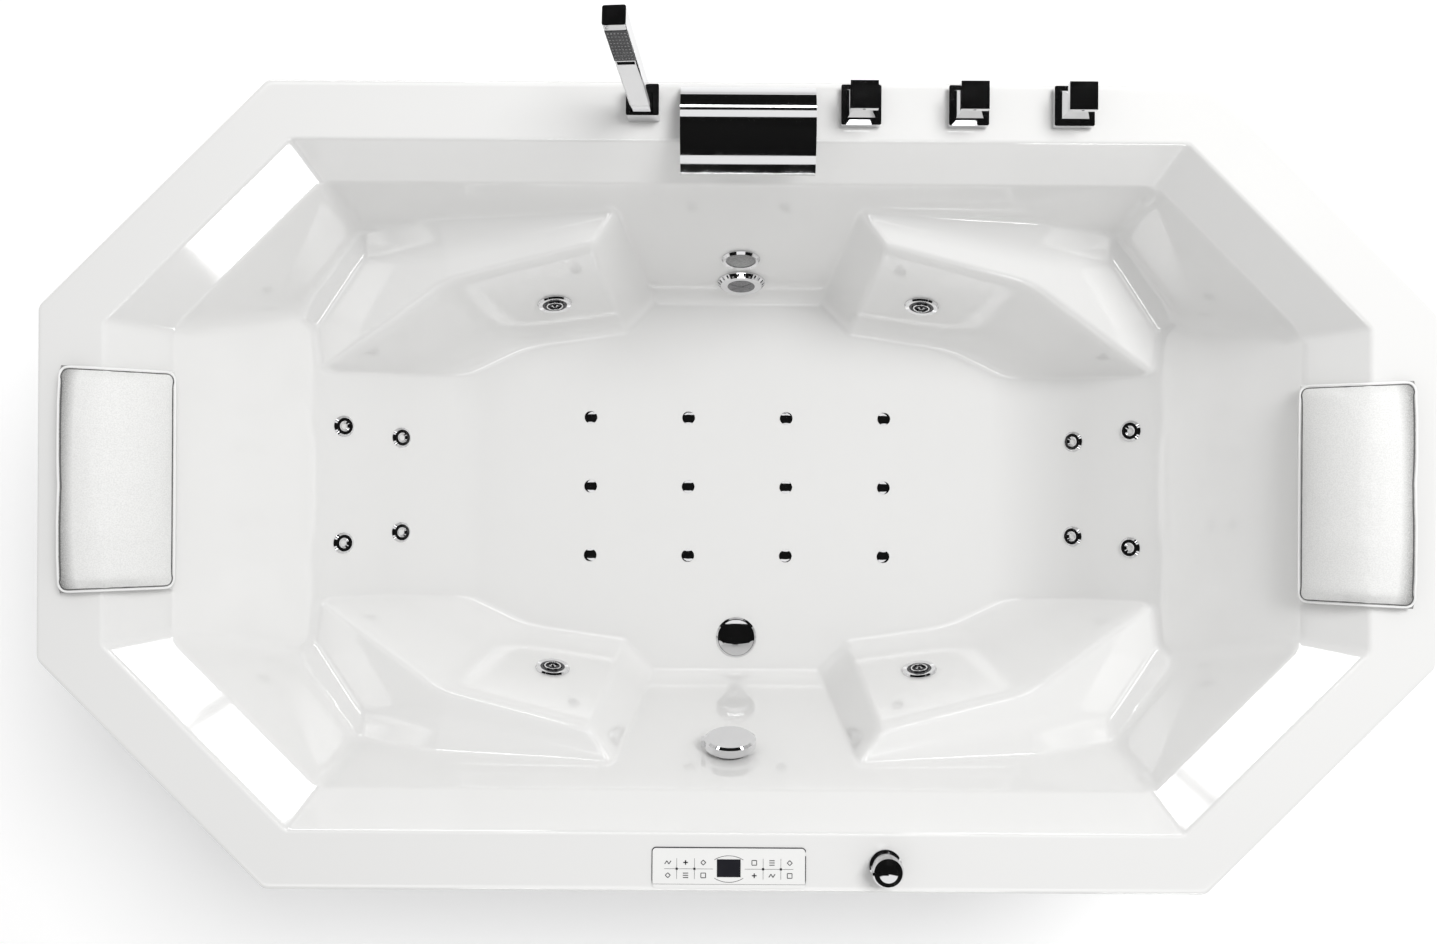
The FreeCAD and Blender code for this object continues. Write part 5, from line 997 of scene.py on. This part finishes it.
def add_spout(finish):
    """Arched chrome spout, drawn as one section across the rim."""
    low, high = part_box("waterfall_spout")
    reach = high.y - low.y
    rise = high.z - RIM_Z
    pulls = ((0.0, 0.10), (0.10, 1.22), (0.62, 1.22), (1.0, 0.52))
    arch = []
    for k in range(ARCH_STEPS + 1):
        t = k / ARCH_STEPS
        share = ((1 - t) ** 3, 3 * t * (1 - t) ** 2, 3 * t * t * (1 - t), t ** 3)
        arch.append((
            high.y - reach * sum(w * pull[0] for w, pull in zip(share, pulls)),
            RIM_Z + rise * sum(w * pull[1] for w, pull in zip(share, pulls)),
        ))
    lip = arch[-1]
    under = [(lip[0], lip[1] - SPOUT_PLATE), (high.y - SPOUT_FOOT, RIM_Z + rise - SPOUT_PLATE - 0.010),
             (high.y - SPOUT_FOOT, RIM_Z), (high.y, RIM_Z), arch[0]]
    points = []
    faces = []
    for row in (arch, [arch[-1], under[0]], under[:2], under[1:3], under[2:4], under[3:]):
        first = len(points)
        for x in (low.x, high.x):
            points += [(x, y, z) for y, z in row]
        count = len(row)
        for k in range(first, first + count - 1):
            faces.append((k, k + 1, k + count + 1, k + count))
    section = arch + under[:4]
    for x, turn in ((low.x, -1), (high.x, 1)):
        first = len(points)
        points += [(x, y, z) for y, z in section]
        faces.append(tuple(range(first, first + len(section)))[::turn])
    spout = mesh_object("spout_arch", points, faces)
    dress(spout, finish)
    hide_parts("waterfall_spout")
    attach(spout, "tub")


def front_frame(node_name):
    """Across, up and outward directions of the front of a leaning box, and its corners."""
    source = nodes[node_name]
    turn = source.matrix_world.to_3x3()
    normals = [turn @ face.normal for face in source.data.polygons]
    outward = min(normals, key=lambda n: n.y).normalized()
    up = max(normals, key=lambda n: n.z).normalized()
    across = outward.cross(up).normalized() * -1
    up = across.cross(outward) * -1
    corners = [source.matrix_world @ vertex.co for vertex in source.data.vertices]
    return across, up, outward, corners


def add_spray_face(finish, dots):
    """Dark plate of the hand shower with rows of nozzles."""
    across, up, outward, corners = front_frame("hand_shower")
    top = max(corner.dot(up) for corner in corners)
    front = max(corner.dot(outward) for corner in corners)
    side = (max(corner.dot(across) for corner in corners) + min(corner.dot(across) for corner in corners)) / 2
    middle = up * (top - SPRAY_MARGIN - SPRAY_LENGTH / 2) + outward * (front - 0.0006) + across * side
    points = []
    faces = []
    add_block(points, faces, middle, across * (SPRAY_WIDTH / 2), up * (SPRAY_LENGTH / 2), outward * 0.0012)
    plate = mesh_object("spray_face", points, faces, False)
    dress(plate, finish)
    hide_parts("spray_plate")
    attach(plate, "hand_shower")
    points = []
    faces = []
    for row in range(SPRAY_ROWS):
        for column in range(SPRAY_COLUMNS):
            offset = across * ((column + 0.5) / SPRAY_COLUMNS - 0.5) * (SPRAY_WIDTH - 0.002)
            offset = offset + up * ((row + 0.5) / SPRAY_ROWS - 0.5) * (SPRAY_LENGTH - 0.003)
            add_stub(points, faces, middle + offset + outward * 0.0012, across, up, outward, 0.0011, 0.0007)
    nozzles = mesh_object("spray_nozzles", points, faces)
    dress(nozzles, dots)
    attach(nozzles, "hand_shower")


def add_jet_rings(finishes):
    """Chrome ring and hub in the mouth of each large jet, and the dark face of the suction grille."""
    joints = {joint["child"]: joint for joint in frame["record"]["behaviour"]["joints"]}
    for k in (1, 2, 3, 4):
        name = f"jet_nozzle_{k}"
        axis = Vector(joints[name]["axis"])
        middle, across, up = face_of(name, axis)
        turns = [t / 16 * math.pi for t in range(32)]
        ring_path = [middle + (across * math.cos(t) + up * math.sin(t)) * JET_RING for t in turns]
        ring_tube = add_tube(f"{name}_ring", ring_path, JET_RING_WIRE, closed=True, sides=8)
        points = []
        faces = []
        add_stub(points, faces, middle, across, up, axis, JET_HUB, JET_HUB_HEIGHT, 24)
        hub = mesh_object(f"{name}_hub", points, faces)
        for piece in (ring_tube, hub):
            dress(piece, finishes["chrome"])
            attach(piece, name)
    wall_axis = Vector((0, -math.sin(math.radians(SIDE_SLOPE)), math.cos(math.radians(SIDE_SLOPE))))
    middle, across, up = face_of("suction_cover", wall_axis)
    points = []
    faces = []
    foot = middle - wall_axis * 0.0002
    add_stub(points, faces, foot, across, up, wall_axis, SUCTION_FACE, SUCTION_RISE, 32, 0.97)
    for turn in (35, 95, 155):
        slant = across * math.cos(math.radians(turn)) + up * math.sin(math.radians(turn))
        side = slant.cross(wall_axis)
        bar_middle = middle + wall_axis * SUCTION_RISE
        half_bar = slant * (SUCTION_FACE - SUCTION_MARGIN)
        add_block(points, faces, bar_middle, half_bar, side * 0.0006, wall_axis * 0.0004)
    face = mesh_object("suction_face", points, faces, False)
    dress(face, finishes["suction"])
    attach(face, "tub")


def face_of(node_name, axis):
    """Middle of a round node's outer face, with two directions across it."""
    source = nodes[node_name]
    corners = [source.matrix_world @ vertex.co for vertex in source.data.vertices]
    low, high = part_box(node_name)
    middle = (low + high) / 2
    middle = middle + axis * (max(corner.dot(axis) for corner in corners) - middle.dot(axis))
    across = Vector((1, 0, 0)) - axis * axis.x
    across.normalize()
    return middle, across, axis.cross(across)


def add_block(points, faces, middle, across, up, out):
    first = len(points)
    for c in (-1, 1):
        for b in (-1, 1):
            for a in (-1, 1):
                points.append(middle + across * a + up * b + out * c)
    for face in ((0, 2, 3, 1), (4, 5, 7, 6), (0, 1, 5, 4), (2, 6, 7, 3), (0, 4, 6, 2), (1, 3, 7, 5)):
        faces.append(tuple(first + v for v in face))


def add_stub(points, faces, foot, across, up, out, radius, height, sides=8, crown=0.55):
    """A low round stub with a rounded top."""
    first = len(points)
    for share, level in ((1.0, -0.0001), (1.0, height * 0.5), (crown, height)):
        for k in range(sides):
            turn = 2 * math.pi * k / sides
            spoke = across * math.cos(turn) + up * math.sin(turn)
            points.append(foot + spoke * (radius * share) + out * level)
    for level in (0, 1):
        faces += [tuple(first + level * sides + v for v in face) for face in strip(sides, 0, sides)]
    faces.append(tuple(first + 2 * sides + k for k in range(sides)))


def add_keypad_print(finish):
    """Display arcs, dividers, dots and plain signs on the keypad, and a dark cord round its plate as a
    painted shadow of the gap round the plate.
    """
    low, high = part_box("keypad_plate")
    middle = Vector(((low.x + high.x) / 2, (low.y + high.y) / 2, high.z))
    points = []
    faces = []

    def bar(x1, y1, x2, y2, width):
        start = middle + Vector((x1, y1, 0)) / 1000
        end = middle + Vector((x2, y2, 0)) / 1000
        along = (end - start) / 2
        side = Vector((-along.y, along.x, 0)).normalized() * (width / 2000)
        add_block(points, faces, (start + end) / 2, along, side, Vector((0, 0, 0.0001)))

    def path(x, y, width, *corners):
        for (x1, y1), (x2, y2) in zip(corners, corners[1:]):
            bar(x + x1, y + y1, x + x2, y + y2, width)

    for side in (-1, 1):
        for x in (KEY_STEP * 1.5, KEY_STEP * 2.5):
            bar(side * (KEY_START + x), -15, side * (KEY_START + x), 13, 0.5)
            bar(side * (KEY_START + x) - 1.5, KEY_LINE, side * (KEY_START + x) + 1.5, KEY_LINE, 3.0)
        bar(side * (KEY_START + 11), KEY_LINE, side * (KEY_START + KEY_STEP * 3.2), KEY_LINE, 0.5)
        turns = [math.radians(4 * k) for k in range(-8, 9)]
        swing = [(ARC_RADIUS * math.sin(t), side * (ARC_RADIUS * math.cos(t) - ARC_DROP)) for t in turns]
        path(0, KEY_LINE, 0.7, *swing)
    for row, y in enumerate(KEY_ROWS):
        for column in range(3):
            for side in (-1, 1):
                x = side * (KEY_START + KEY_STEP * (column + 1))
                kind = (column + 3 * row + (1 - side)) % 5
                if kind == 0:
                    path(x, y, 1.1, (-3.2, -3.2), (3.2, -3.2), (3.2, 3.2), (-3.2, 3.2), (-3.2, -3.2))
                elif kind == 1:
                    for shift in (-3.0, 0, 3.0):
                        bar(x - 3.6, y + shift, x + 3.6, y + shift, 1.2)
                elif kind == 2:
                    path(x, y, 1.1, (-3.4, 0), (0, 3.4), (3.4, 0), (0, -3.4), (-3.4, 0))
                elif kind == 3:
                    bar(x - 3.2, y, x + 3.2, y, 1.6)
                    bar(x, y - 3.2, x, y + 3.2, 1.6)
                else:
                    path(x, y, 1.2, (-4.2, -2.2), (-1.4, 2.2), (1.4, -2.2), (4.2, 2.2))
    printed = mesh_object("keypad_print", points, faces, False)
    dress(printed, finish)
    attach(printed, "tub")
    # Painted shadow: a dark cord round the plate's edge stands for the shade in the gap round it.
    loop = [Vector((middle.x + x, middle.y + y, RIM_Z + 0.0006))
            for x, y in rounded_rectangle((high.x - low.x) / 2, (high.y - low.y) / 2, 0.005, 30, 8)]
    joint = add_tube("keypad_gap_shadow", [p for p in loop if p.y > low.y + 0.004], 0.0011, sides=8)
    dress(joint, finish)
    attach(joint, "tub")


def dress_nodes(finishes):
    """Gives every CAD node that stays the finish of its own slot."""
    for part in frame["record"]["subparts"]:
        node = nodes[part["node"]]
        dress(node, finishes[part["material_slot"]])


bpy.context.scene.view_settings.view_transform = "Standard"
finishes = make_finishes()
dress_nodes(finishes)
build_shell(finishes["acrylic"])
for side in ("left", "right"):
    add_pillow(side, finishes)
add_spout(finishes["chrome"])
add_spray_face(finishes["dark_grille"], finishes["nozzle"])
add_keypad_print(finishes["print_and_gap_shadow"])
add_jet_rings(finishes)
add_camera()
light_world()
add_floor()
add_dark_ring(DARK_RING_LOW, DARK_RING_HIGH, DARK_RING_RADIUS)
add_dark_patch(*DARK_TOP)
key = add_softbox("key", (1.5, 1.4, 4.2), (0, 0, 0.3), 1.8, 1.6, 110.0)
key.visible_glossy = False
for gleam, settings in GLEAMS.items():
    add_gleam(gleam, *settings)

[[list(corner) for corner in box] for box in (cad_box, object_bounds())]
